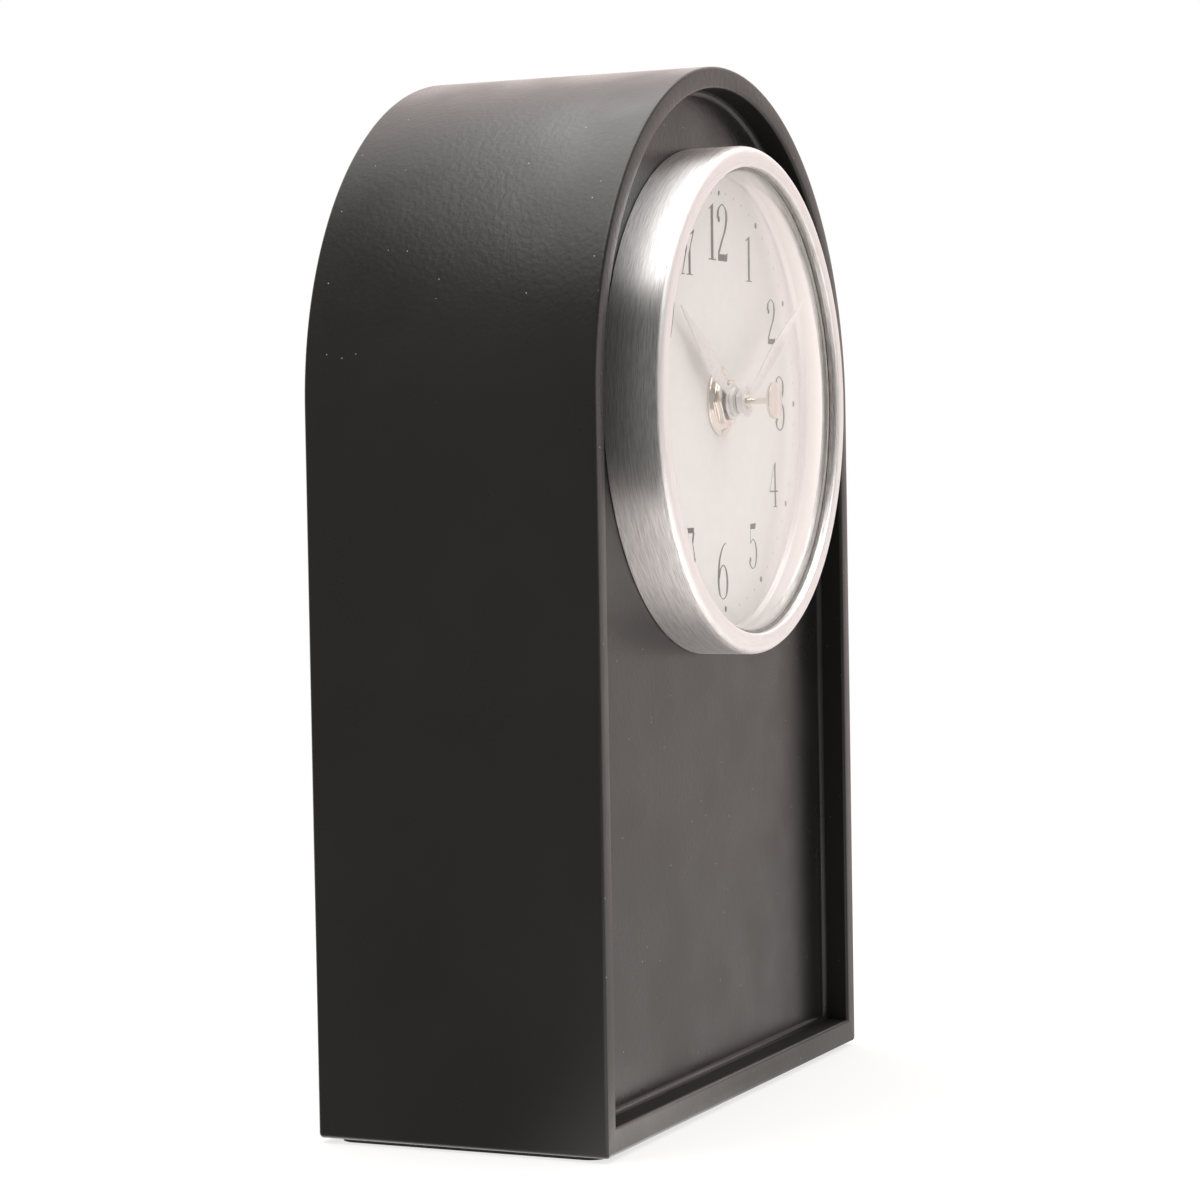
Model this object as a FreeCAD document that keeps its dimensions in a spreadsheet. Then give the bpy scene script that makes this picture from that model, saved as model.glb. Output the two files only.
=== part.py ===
import FreeCAD, Part
import math
import os
import Sketcher

# Arch-topped quartz mantel clock: painted board case, metal bezel with a domed
# lens, printed dial, three-piece hand stack and a geared quartz movement.
# Frame: millimetres, +Z up, front toward -Y, X = 0 on the case's middle plane,
# origin on the surface the clock rests on, midway along its depth.

SIZES = {
    # case
    "case_height": 240.0,
    "case_width": 156.0,
    "case_depth": 70.0,
    "shell_wall": 5.0,
    "shell_floor": 6.0,
    "rim_round": 1.2,
    "panel_recess": 7.0,
    "panel_thick": 6.0,
    "board_gap": 0.3,
    "panel_hole_radius": 41.0,
    "back_thick": 3.0,
    "back_inset": 2.0,
    "access_radius": 45.0,
    "block_width": 12.0,
    "block_depth": 20.0,
    "block_height": 20.0,
    "low_block_height": 30.0,
    "high_block_height": 140.0,
    "felt_thick": 1.0,
    "felt_inset": 3.0,
    "felt_corner": 4.0,
    # wood screws of the back board
    "wood_screw_radius": 1.4,
    "wood_head_radius": 2.9,
    "wood_head_height": 1.8,
    "wood_screw_length": 12.0,
    "screw_gap": 0.1,
    "recess_length": 3.2,
    "recess_width": 0.7,
    "recess_depth": 1.0,
    # bezel, lens and dial
    "dial_height": 163.0,
    "bezel_radius": 58.3,
    "bezel_depth": 13.8,
    "bezel_bore": 54.8,
    "bezel_shoulder": 2.2,
    "lip_radius": 53.4,
    "lip_thick": 1.6,
    "lip_bevel": 0.7,
    "gasket_thick": 0.5,
    "gasket_radius": 53.1,
    "lens_radius": 54.6,
    "lens_thick": 1.6,
    "dome_radius": 51.8,
    "dome_rise": 7.2,
    "ring_radius": 54.5,
    "ring_bore": 53.4,
    "ring_foot_bore": 52.6,
    "ring_foot_height": 0.8,
    "dial_radius": 54.4,
    "dial_thick": 0.4,
    "backer_thick": 3.0,
    "metal_screw_radius": 0.95,
    "metal_head_radius": 1.9,
    "metal_head_height": 1.4,
    "metal_screw_bite": 5.5,
    "metal_screw_circle": 56.55,
    # hand stack
    "bush_radius": 4.0,
    "bush_bore": 2.62,
    "bush_flange": 5.2,
    "bush_flange_thick": 0.6,
    "bush_reach": 2.3,
    "bush_gap": 0.1,
    "rubber_radius": 9.0,
    "rubber_thick": 0.8,
    "washer_radius": 8.0,
    "washer_thick": 0.5,
    "washer_dish": 0.5,
    "washer_hub_radius": 6.2,
    "nut_flats": 10.0,
    "nut_thick": 1.5,
    "hour_pipe_radius": 2.55,
    "hour_pipe_bore": 1.71,
    "hour_boss_radius": 4.2,
    "hour_collet_radius": 3.3,
    "hour_collet_length": 1.0,
    "hour_hand_height": 3.0,
    "hour_hand_length": 37.0,
    "hour_hand_width": 5.6,
    "hour_stem_width": 1.8,
    "hand_thick": 0.4,
    "hand_tip_width": 0.3,
    "minute_pipe_radius": 1.65,
    "minute_pipe_bore": 0.56,
    "minute_neck_radius": 1.3,
    "minute_boss_radius": 3.6,
    "minute_collet_radius": 2.7,
    "minute_collet_length": 1.5,
    "minute_hand_height": 6.4,
    "minute_hand_length": 47.0,
    "minute_hand_width": 3.8,
    "minute_stem_width": 1.3,
    "hour_pipe_past": 0.2,
    "minute_pipe_past": 0.4,
    "collet_gap": 0.02,
    "cap_height": 12.6,
    "cap_radius": 4.2,
    "cap_thick": 0.8,
    "cap_stem_radius": 0.7,
    "cap_stem_length": 5.0,
    "arbor_radius": 0.5,
    # movement housing
    "movement_side": 56.0,
    "movement_corner": 3.0,
    "movement_wall": 1.2,
    "bay_wall": 0.8,
    "battery_radius": 7.25,
    "battery_length": 49.2,
    "battery_nub_radius": 2.7,
    "battery_nub_length": 1.3,
    "battery_bevel": 0.8,
    "battery_gap": 0.3,
    "lip_gap": 0.1,
    "cover_lip_height": 1.2,
    "cover_lip_wall": 0.8,
    "contact_thick": 0.3,
    "contact_width": 8.0,
    "contact_gap": 0.05,
    # going train
    "wheel_thick": 1.0,
    "pinion_overlap": 0.3,
    "work_gap": 0.4,
    "centre_gap": 0.8,
    "layer_gap": 1.1,
    "pivot_radius": 0.4,
    "pivot_length": 1.8,
    "running_gap": 0.05,
    "end_gap": 0.3,
    "boss_radius": 1.3,
    "boss_length": 2.6,
    "train_distance": 11.52,
    "work_distance": 7.5,
    "rate_module": 0.3,
    "rotor_module": 0.25,
    "hub_radius": 1.5,
    # motor and circuit
    "magnet_radius": 2.8,
    "magnet_thick": 2.0,
    "magnet_bore": 1.0,
    "pole_gap": 0.45,
    "pole_neck": 0.6,
    "stator_thick": 1.0,
    "stator_level": 6.5,
    "stator_top": 17.5,
    "stator_bottom": 10.0,
    "stator_leg": 4.0,
    "stator_reach": 25.2,
    "core_thick": 1.0,
    "core_width": 2.6,
    "bobbin_wall": 0.5,
    "bobbin_flange": 3.4,
    "bobbin_flange_thick": 0.6,
    "coil_radius": 3.0,
    "coil_gap": 0.1,
    "board_left": 24.0,
    "board_right": 10.0,
    "board_low": 20.4,
    "board_high": 26.2,
    "board_thick": 0.8,
    "board_level": 8.0,
    "post_radius": 1.4,
    "chip_side": 3.6,
    "chip_thick": 0.9,
    "chip_place": 4.0,
    "can_radius": 1.0,
    "can_length": 6.0,
    "can_place": 14.0,
    # hand-setting work
    "setting_radius": 1.2,
    "work_post_radius": 0.7,
    "setting_knob_radius": 5.5,
    "setting_knob_height": 3.0,
    "setting_knob_gap": 0.4,
    "knob_flute_depth": 0.6,
    # cuts run past the faces they open by this much
    "overrun": 1.0,
}

# Plain numbers: tooth counts, angles in degrees and shares of a named size.
COUNTS = {
    "second_teeth": 60,
    "second_leaves": 8,
    "third_teeth": 60,
    "third_leaves": 8,
    "centre_teeth": 64,
    "rate_teeth": 60,
    "rate_leaves": 15,
    "rotor_leaves": 8,
    "cannon_leaves": 12,
    "work_teeth": 36,
    "work_leaves": 10,
    "hour_teeth": 40,
    "setting_leaves": 14,
    "bezel_screw_count": 4,
    "bezel_screw_angle": 45,
    "third_bearing": 134,
    "rate_bearing": 45,
    "work_bearing": 200,
    "setting_bearing": 199,
    "rotor_bearing": -34.5,
    "hour_angle": 304.75,
    "minute_angle": 57.0,
    "knob_flute_count": 16,
    "dome_band_count": 4,
    "shoulder_facet_count": 3,
    "wheel_tip_share": 0.9,
    "wheel_root_share": 1.25,
    "wheel_tip_width_share": 0.18,
    "wheel_root_width_share": 0.60,
    "leaf_tip_share": 0.75,
    "leaf_root_share": 1.35,
    "leaf_tip_width_share": 0.20,
    "leaf_root_width_share": 0.48,
    "tooth_foot_share": 0.3,
    "hand_swell_share": 0.42,
    "knob_flute_share": 0.8,
}

doc = FreeCAD.newDocument("mantel_clock")
sheet = doc.addObject("Spreadsheet::Sheet", "Sizes")
PARTS = []


class Size:
    """A named size of the sheet, or a sum of such sizes, with its formula."""

    def __init__(self, value, text):
        self.value = float(value)
        self.text = text

    def __add__(self, other):
        return joined(self, "+", other)

    def __radd__(self, other):
        return joined(other, "+", self)

    def __sub__(self, other):
        return joined(self, "-", other)

    def __rsub__(self, other):
        return joined(other, "-", self)

    def __mul__(self, other):
        return joined(self, "*", other)

    def __rmul__(self, other):
        return joined(other, "*", self)

    def __truediv__(self, other):
        return joined(self, "/", other)

    def __neg__(self):
        return joined(0, "-", self)


def as_size(thing):
    if isinstance(thing, Size):
        return thing
    return Size(thing, repr(thing))


def joined(left, sign, right):
    left = as_size(left)
    right = as_size(right)
    if sign == "+":
        value = left.value + right.value
    elif sign == "-":
        value = left.value - right.value
    elif sign == "*":
        value = left.value * right.value
    else:
        value = left.value / right.value
    return Size(value, "(" + left.text + " " + sign + " " + right.text + ")")


def root(thing):
    return Size(math.sqrt(thing.value), "sqrt(" + thing.text + ")")


def cosine(angle):
    angle = as_size(angle)
    return Size(math.cos(math.radians(angle.value)), "cos(" + angle.text + ")")


def sine(angle):
    angle = as_size(angle)
    return Size(math.sin(math.radians(angle.value)), "sin(" + angle.text + ")")


class Table:
    """Holds each row of the sheet as a Size under its own name."""


dim = Table()
for row, (name, value) in enumerate(list(SIZES.items()) + list(COUNTS.items()), 1):
    sheet.set("A" + str(row), name)
    sheet.set("B" + str(row), str(value))
    sheet.setAlias("B" + str(row), name)
doc.recompute()
for name in list(SIZES) + list(COUNTS):
    setattr(dim, name, Size(sheet.get(name), "Sizes." + name))


def count(name):
    return int(round(getattr(dim, name).value))


# Planes of the build, from the front of the case to its back
front_y = -dim.case_depth / 2
back_y = dim.case_depth / 2
panel_front = front_y + dim.panel_recess
panel_back = panel_front + dim.panel_thick
board_back = back_y - dim.back_inset
board_front = board_back - dim.back_thick
bezel_front = panel_front - dim.bezel_depth
dial_back = panel_front - dim.backer_thick
dial_front = dial_back - dim.dial_thick
lip_back = bezel_front + dim.lip_thick
lens_front = lip_back + dim.gasket_thick
lens_back = lens_front + dim.lens_thick

# Planes of the movement, from its front wall to its cover
work_front = panel_front + dim.rubber_thick
inner_front = work_front + dim.movement_wall
hour_front = inner_front + dim.work_gap
hour_back = hour_front + dim.wheel_thick
minute_front = hour_back + dim.work_gap
minute_back = minute_front + dim.wheel_thick
centre_front = minute_back + dim.centre_gap
centre_back = centre_front + dim.wheel_thick
third_front = centre_back + dim.layer_gap
third_back = third_front + dim.wheel_thick
second_front = third_back + dim.layer_gap
second_back = second_front + dim.wheel_thick
rate_front = second_back + dim.layer_gap
rate_back = rate_front + dim.wheel_thick
boss_end = rate_back + dim.end_gap
cover_front = boss_end + dim.boss_length
cover_back = cover_front + dim.movement_wall
stator_front = inner_front + dim.stator_level
stator_back = stator_front + dim.stator_thick
magnet_front = stator_front + dim.stator_thick / 2 - dim.magnet_thick / 2
magnet_back = magnet_front + dim.magnet_thick

# Places in the movement's face, measured from the centre arbor
half_side = dim.movement_side / 2
inner_half = half_side - dim.movement_wall
bay_low = -inner_half
bay_high = bay_low + 2 * dim.battery_radius + 2 * dim.battery_gap
train_low = bay_high + dim.bay_wall
battery_y = inner_front + dim.battery_gap + dim.battery_radius
battery_z = (bay_low + bay_high) / 2
third_module = 2 * dim.train_distance / (dim.centre_teeth + dim.third_leaves)
second_module = 2 * dim.train_distance / (dim.third_teeth + dim.second_leaves)
rate_distance = dim.rate_module * (dim.second_teeth + dim.rate_leaves) / 2
rotor_distance = dim.rotor_module * (dim.rate_teeth + dim.rotor_leaves) / 2
cannon_module = 2 * dim.work_distance / (dim.work_teeth + dim.cannon_leaves)
hour_module = 2 * dim.work_distance / (dim.hour_teeth + dim.work_leaves)
setting_distance = cannon_module * (dim.work_teeth + dim.setting_leaves) / 2


def polar(radius, angle, centre_x=0, centre_z=0):
    """A place at an angle counted anticlockwise from +X, seen from the front."""
    return (centre_x + radius * cosine(angle), centre_z + radius * sine(angle))


third_place = polar(dim.train_distance, dim.third_bearing)
rate_place = polar(rate_distance, dim.rate_bearing)
work_place = polar(dim.work_distance, dim.work_bearing)
setting_place = polar(setting_distance, dim.setting_bearing, work_place[0], work_place[1])
rotor_place = polar(rotor_distance, dim.rotor_bearing, rate_place[0], rate_place[1])


# Drawing aids

def new_body(label):
    body = doc.addObject("PartDesign::Body", label)
    body.Label = label
    body.AllowCompound = True
    PARTS.append(body)
    return body


def new_sketch(body, role, name):
    sketch = body.newObject("Sketcher::SketchObject", name)
    for feature in body.Origin.OriginFeatures:
        if feature.Role == role:
            sketch.AttachmentSupport = [(feature, "")]
    sketch.MapMode = "FlatFace"
    return sketch


def fix_point(sketch, geometry, point, place):
    """Ties one point of the drawing to its two formulas."""
    for kind, value in (("DistanceX", place[0]), ("DistanceY", place[1])):
        value = as_size(value)
        index = sketch.addConstraint(Sketcher.Constraint(kind, -1, 1, geometry, point, value.value))
        if "Sizes" in value.text:
            sketch.setExpression("Constraints[" + str(index) + "]", value.text)


def fix_radius(sketch, geometry, radius):
    index = sketch.addConstraint(Sketcher.Constraint("Radius", geometry, radius.value))
    sketch.setExpression("Constraints[" + str(index) + "]", radius.text)


def draw_circle(sketch, centre, radius):
    place = [as_size(value).value for value in centre]
    middle = FreeCAD.Vector(place[0], place[1], 0)
    circle = Part.Circle(middle, FreeCAD.Vector(0, 0, 1), radius.value)
    geometry = sketch.addGeometry(circle, False)
    fix_point(sketch, geometry, 3, centre)
    fix_radius(sketch, geometry, radius)


def arc_between(start, end, radius, side):
    """An arc from start to end whose centre is to the left or right of the way."""
    chord = end - start
    half = chord.Length / 2
    reach = math.sqrt(max(radius * radius - half * half, 0))
    normal = FreeCAD.Vector(-chord.y, chord.x, 0)
    normal.normalize()
    sign = 1 if side == "left" else -1
    middle = (start + end) * 0.5 + normal * (sign * reach)
    first, last = (start, end) if side == "left" else (end, start)
    angles = [math.atan2(point.y - middle.y, point.x - middle.x) for point in (first, last)]
    if angles[1] < angles[0]:
        angles[1] += 2 * math.pi
    circle = Part.Circle(middle, FreeCAD.Vector(0, 0, 1), radius)
    return Part.ArcOfCircle(circle, angles[0], angles[1])


def draw_path(sketch, corners):
    """A closed outline. A corner (x, y) ends a line; (x, y, radius, side) an arc."""
    points = []
    for corner in corners:
        points.append(FreeCAD.Vector(as_size(corner[0]).value, as_size(corner[1]).value, 0))
    pieces = []
    for index, corner in enumerate(corners):
        start = points[index - 1]
        end = points[index]
        if len(corner) == 2:
            geometry = sketch.addGeometry(Part.LineSegment(start, end), False)
            pieces.append((geometry, 1, 2))
        else:
            arc = arc_between(start, end, corner[2].value, corner[3])
            geometry = sketch.addGeometry(arc, False)
            ends = (1, 2) if corner[3] == "left" else (2, 1)
            pieces.append((geometry,) + ends)
    for index, piece in enumerate(pieces):
        before = pieces[index - 1]
        sketch.addConstraint(Sketcher.Constraint("Coincident", before[0], before[2], piece[0], piece[1]))
    for index, corner in enumerate(corners):
        fix_point(sketch, pieces[index][0], pieces[index][2], corner)
        if len(corner) > 2:
            fix_radius(sketch, pieces[index][0], corner[2])


def draw(sketch, shapes):
    for shape in shapes:
        if shape[0] == "circle":
            draw_circle(sketch, shape[1], shape[2])
        else:
            draw_path(sketch, shape[1])


def circle(place, radius):
    return ("circle", place, radius)


def path(corners):
    return ("path", corners)


def rectangle(left, low, right, high):
    return path([(left, low), (right, low), (right, high), (left, high)])


def rounded(left, low, right, high, corner):
    return path([
        (left + corner, low, corner, "left"),
        (right - corner, low),
        (right, low + corner, corner, "left"),
        (right, high - corner),
        (right - corner, high, corner, "left"),
        (left + corner, high),
        (left, high - corner, corner, "left"),
        (left, low + corner),
    ])


def arch(half_width, low, spring):
    """Straight sides under a half round, its two quarters meeting at the crown."""
    return path([
        (-half_width, low),
        (half_width, low),
        (half_width, spring),
        (0, spring + half_width, half_width, "left"),
        (-half_width, spring, half_width, "left"),
    ])


def bind(thing, name, size):
    setattr(thing, name, as_size(size).value)
    thing.setExpression(name, as_size(size).text)


def pad(body, shapes, back, front, name):
    """Adds material between two planes that face the front."""
    sketch = new_sketch(body, "XZ_Plane", name + "_sketch")
    sketch.setExpression("AttachmentOffset.Base.z", (-back).text)
    draw(sketch, shapes)
    feature = body.newObject("PartDesign::Pad", name)
    feature.Profile = sketch
    bind(feature, "Length", back - front)
    sketch.Visibility = False
    return feature


def pocket(body, shapes, front, back, name):
    """Takes material away between two planes that face the front."""
    doc.recompute()
    before = body.Shape.Volume
    sketch = new_sketch(body, "XZ_Plane", name + "_sketch")
    sketch.setExpression("AttachmentOffset.Base.z", (-front).text)
    draw(sketch, shapes)
    feature = body.newObject("PartDesign::Pocket", name)
    feature.Profile = sketch
    bind(feature, "Length", back - front)
    doc.recompute()
    if body.Shape.Volume >= before:
        raise RuntimeError(name + " removes nothing")
    return feature


def stack(body, shapes, low, high, name):
    """Adds material between two level planes."""
    sketch = new_sketch(body, "XY_Plane", name + "_sketch")
    sketch.setExpression("AttachmentOffset.Base.z", low.text)
    draw(sketch, shapes)
    feature = body.newObject("PartDesign::Pad", name)
    feature.Profile = sketch
    bind(feature, "Length", high - low)


def turned(label, corners, centre=(0, 0)):
    """A round piece: its half section (radius, y) spun about its own axis along Y."""
    body = new_body(label)
    sketch = new_sketch(body, "XY_Plane", label + "_section")
    draw_path(sketch, corners)
    feature = body.newObject("PartDesign::Revolution", label + "_spin")
    feature.Profile = sketch
    feature.ReferenceAxis = (sketch, ["V_Axis"])
    feature.Angle = 360
    body.setExpression("Placement.Base.x", as_size(centre[0]).text)
    body.setExpression("Placement.Base.z", (dim.dial_height + centre[1]).text)
    return body


def tube(label, inner, outer, front, back, centre=(0, 0)):
    return turned(label, [(inner, front), (outer, front), (outer, back), (inner, back)], centre)


def place_on_arbor(body, centre=(0, 0)):
    body.setExpression("Placement.Base.x", as_size(centre[0]).text)
    body.setExpression("Placement.Base.z", (dim.dial_height + centre[1]).text)


def front_edges(feature, plane):
    """Names of the edges that lie in one plane facing the front."""
    doc.recompute()
    names = []
    for index, edge in enumerate(feature.Shape.Edges, 1):
        box = edge.BoundBox
        if abs(box.YMin - plane.value) < 0.001 and abs(box.YMax - plane.value) < 0.001:
            names.append("Edge" + str(index))
    return names


def crosses(places):
    """Outlines of a screwdriver recess at each place."""
    long_half = dim.recess_length / 2
    short_half = dim.recess_width / 2
    shapes = []
    for x, z in places:
        shapes.append(path([
            (x - long_half, z - short_half),
            (x - short_half, z - short_half),
            (x - short_half, z - long_half),
            (x + short_half, z - long_half),
            (x + short_half, z - short_half),
            (x + long_half, z - short_half),
            (x + long_half, z + short_half),
            (x + short_half, z + short_half),
            (x + short_half, z + long_half),
            (x - short_half, z + long_half),
            (x - short_half, z + short_half),
            (x - long_half, z + short_half),
        ]))
    return shapes


def screws(label, places, shank_radius, head_radius, tip, seat, head_end):
    """Like screws as one group: shank forward of the seat, head behind it."""
    body = new_body(label)
    pad(body, [circle(place, shank_radius) for place in places], seat, tip, label + "_shank")
    pad(body, [circle(place, head_radius) for place in places], head_end, seat, label + "_head")
    return body


# Case

spring_height = dim.case_height - dim.case_width / 2
shell_half = dim.case_width / 2
inner_half_width = shell_half - dim.shell_wall
floor_top = dim.felt_thick + dim.shell_floor
fitted_half_width = inner_half_width - dim.board_gap


def case_shell():
    body = new_body("case_shell")
    outside = arch(shell_half, dim.felt_thick, spring_height)
    inside = arch(inner_half_width, floor_top, spring_height)
    block = pad(body, [outside, inside], back_y, front_y, "shell_wrap")
    rounding = body.newObject("PartDesign::Fillet", "shell_rim_round")
    rounding.Base = (block, front_edges(block, front_y))
    bind(rounding, "Radius", dim.rim_round)


def bezel_screw_places():
    step = 360 / count("bezel_screw_count")
    places = []
    for index in range(count("bezel_screw_count")):
        angle = dim.bezel_screw_angle + index * step
        places.append(polar(dim.metal_screw_circle, angle, 0, dim.dial_height))
    return places


def front_panel():
    body = new_body("front_panel")
    outline = arch(fitted_half_width, floor_top, spring_height)
    opening = circle((0, dim.dial_height), dim.panel_hole_radius)
    holes = [circle(place, dim.metal_screw_radius + dim.screw_gap) for place in bezel_screw_places()]
    pad(body, [outline, opening] + holes, panel_back, panel_front, "panel_board")


def side_block_places():
    x = inner_half_width - dim.block_width / 2
    places = []
    for z in (dim.low_block_height, dim.high_block_height):
        places.append((-x, z))
        places.append((x, z))
    return places


def top_block_place():
    return (0, spring_height + inner_half_width - dim.block_height / 2)


def back_panel():
    body = new_body("back_panel")
    outline = arch(fitted_half_width, floor_top, spring_height)
    opening = circle((0, dim.dial_height), dim.access_radius)
    places = side_block_places() + [top_block_place()]
    holes = [circle(place, dim.wood_screw_radius + dim.screw_gap) for place in places]
    pad(body, [outline, opening] + holes, board_back, board_front, "back_board")


def side_blocks():
    body = new_body("side_blocks")
    half_width = dim.block_width / 2
    half_height = dim.block_height / 2
    shapes = []
    for x, z in side_block_places():
        shapes.append(rectangle(x - half_width, z - half_height, x + half_width, z + half_height))
        shapes.append(circle((x, z), dim.wood_screw_radius + dim.screw_gap))
    pad(body, shapes, board_front, board_front - dim.block_depth, "side_block")


def top_block():
    body = new_body("top_block")
    x, z = top_block_place()
    radius = fitted_half_width
    half_width = dim.block_width
    shoulder = spring_height + root(radius * radius - half_width * half_width)
    outline = path([
        (-half_width, z - dim.block_height / 2),
        (half_width, z - dim.block_height / 2),
        (half_width, shoulder),
        (-half_width, shoulder, radius, "left"),
    ])
    hole = circle((x, z), dim.wood_screw_radius + dim.screw_gap)
    pad(body, [outline, hole], board_front, board_front - dim.block_depth, "crown_block")


def back_panel_screws():
    places = side_block_places() + [top_block_place()]
    tip = board_back - dim.wood_screw_length
    head_end = board_back + dim.wood_head_height
    body = screws("back_panel_screws", places, dim.wood_screw_radius, dim.wood_head_radius,
                  tip, board_back, head_end)
    pocket(body, crosses(places), head_end - dim.recess_depth, head_end, "back_panel_recess")


def base_felt():
    body = new_body("base_felt")
    x = shell_half - dim.felt_inset
    y = back_y - dim.felt_inset
    stack(body, [rounded(-x, -y, x, y, dim.felt_corner)], as_size(0), dim.felt_thick, "felt_sheet")


# Bezel, lens and dial

def bezel_ring():
    """Turned ring: a rounded shoulder outside and a bevelled lip that holds the lens."""
    shoulder = dim.bezel_shoulder
    corner = []
    for index in range(count("shoulder_facet_count") + 1):
        angle = 90 - 90 * index / count("shoulder_facet_count")
        across = dim.bezel_radius - shoulder + shoulder * cosine(angle)
        corner.append((across, bezel_front + shoulder - shoulder * sine(angle)))
    body = turned("bezel_ring", [
        (dim.bezel_bore, panel_front),
        (dim.bezel_bore, lip_back),
        (dim.lip_radius, lip_back),
        (dim.lip_radius, bezel_front + dim.lip_bevel),
        (dim.lip_radius + dim.lip_bevel, bezel_front),
    ] + corner + [(dim.bezel_radius, panel_front)])
    places = [(x, z - dim.dial_height) for x, z in bezel_screw_places()]
    holes = [circle(place, dim.metal_screw_radius + dim.screw_gap) for place in places]
    depth = dim.metal_screw_bite + dim.end_gap
    pocket(body, holes, panel_front - depth, panel_front + dim.overrun, "bezel_hole")


def bezel_screws():
    tip = panel_front - dim.metal_screw_bite
    screws("bezel_screws", bezel_screw_places(), dim.metal_screw_radius, dim.metal_head_radius,
           tip, panel_back, panel_back + dim.metal_head_height)


def dome_points(plane):
    """Rims of the dome's bands, all on one sphere, from the dome's edge to its top."""
    rise = dim.dome_rise
    curve = (dim.dome_radius * dim.dome_radius + rise * rise) / (2 * rise)
    bands = count("dome_band_count")
    points = []
    for index in range(bands, 0, -1):
        radius = dim.dome_radius * index / bands
        points.append((radius, plane + curve - rise - root(curve * curve - radius * radius)))
    return points + [(0, plane - rise)]


def lens():
    """Domed glass with a flat rim all round; both faces follow one sphere in bands."""
    front = dome_points(lens_front)
    back = dome_points(lens_back)
    rim = [(dim.lens_radius, lens_front), (dim.lens_radius, lens_back)]
    turned("lens", front[::-1] + rim + back)


def lens_gasket():
    tube("lens_gasket", dim.gasket_radius, dim.lens_radius, lip_back, lens_front)


def inner_ring():
    turned("inner_ring", [
        (dim.ring_foot_bore, dial_front),
        (dim.ring_foot_bore, dial_front - dim.ring_foot_height),
        (dim.ring_bore, dial_front - 2 * dim.ring_foot_height),
        (dim.ring_bore, lens_back),
        (dim.ring_radius, lens_back),
        (dim.ring_radius, dial_front),
    ])


def dial_plate():
    tube("dial_plate", dim.bush_radius + dim.bush_gap, dim.dial_radius, dial_front, dial_back)


def dial_backer():
    tube("dial_backer", dim.bush_radius + dim.bush_gap, dim.dial_radius, dial_back, panel_front)


# Hand stack

def threaded_bush():
    outer = dim.bush_radius
    reach = dial_front - dim.bush_reach
    step = inner_front - dim.bush_flange_thick
    turned("threaded_bush", [
        (dim.bush_bore, reach),
        (outer, reach),
        (outer, step),
        (dim.bush_flange, step),
        (dim.bush_flange, inner_front),
        (dim.bush_bore, inner_front),
    ])


def rubber_washer():
    tube("rubber_washer", dim.bush_radius + dim.bush_gap, dim.rubber_radius, panel_front, work_front)


def dome_washer():
    """Dished steel washer: flat hub under the nut, rim turned down to the dial."""
    hub_front = dial_front - dim.washer_dish - dim.washer_thick
    hub_back = dial_front - dim.washer_dish
    turned("dome_washer", [
        (dim.bush_radius + dim.bush_gap, hub_front),
        (dim.washer_hub_radius, hub_front),
        (dim.washer_radius, dial_front - dim.washer_thick / 2),
        (dim.washer_radius, dial_front),
        (dim.washer_radius - dim.washer_thick, dial_front),
        (dim.washer_hub_radius, hub_back),
        (dim.bush_radius + dim.bush_gap, hub_back),
    ])


def hex_nut():
    body = new_body("hex_nut")
    back = dial_front - dim.washer_dish - dim.washer_thick
    half_flat = dim.nut_flats / 2
    corner = half_flat / cosine(30)
    outline = [polar(corner, 60 * index) for index in range(6)]
    hole = circle((0, 0), dim.bush_radius + dim.bush_gap)
    pad(body, [path(outline), hole], back, back - dim.nut_thick, "nut_body")
    place_on_arbor(body)


def hand(label, boss_radius, bore, plane, length, width, stem, angle):
    """A stamped lance: round boss, slim stem, long swell and a fine tip."""
    body = new_body(label)
    start = root(boss_radius * boss_radius - stem * stem / 4)
    swell = length * dim.hand_swell_share
    half_tip = dim.hand_tip_width / 2
    blade = path([
        (-stem / 2, 0),
        (stem / 2, 0),
        (stem / 2, start),
        (width / 2, swell),
        (half_tip, length),
        (-half_tip, length),
        (-width / 2, swell),
        (-stem / 2, start),
    ])
    pad(body, [circle((0, 0), boss_radius)], plane + dim.hand_thick, plane, label + "_boss")
    pad(body, [blade], plane + dim.hand_thick, plane, label + "_blade")
    pocket(body, [circle((0, 0), bore)], plane - dim.overrun, plane + dim.hand_thick, label + "_bore")
    place_on_arbor(body)
    body.Placement.Rotation = FreeCAD.Rotation(FreeCAD.Vector(0, 1, 0), angle.value)
    body.setExpression("Placement.Rotation.Angle", angle.text)


hour_plane = dial_front - dim.hour_hand_height - dim.hand_thick
minute_plane = dial_front - dim.minute_hand_height - dim.hand_thick


def hour_hand():
    hand("hour_hand", dim.hour_boss_radius, dim.hour_pipe_radius + dim.collet_gap, hour_plane,
         dim.hour_hand_length, dim.hour_hand_width, dim.hour_stem_width, dim.hour_angle)


def minute_hand():
    hand("minute_hand", dim.minute_boss_radius, dim.minute_pipe_radius + dim.collet_gap, minute_plane,
         dim.minute_hand_length, dim.minute_hand_width, dim.minute_stem_width, dim.minute_angle)


def hour_collet():
    front = hour_plane - dim.hour_collet_length
    tube("hour_collet", dim.hour_pipe_radius + dim.collet_gap, dim.hour_collet_radius, front, hour_plane)


def minute_collet():
    front = minute_plane + dim.hand_thick
    tube("minute_collet", dim.minute_pipe_radius + dim.collet_gap, dim.minute_collet_radius,
         front, front + dim.minute_collet_length)


cap_back = dial_front - dim.cap_height


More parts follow.
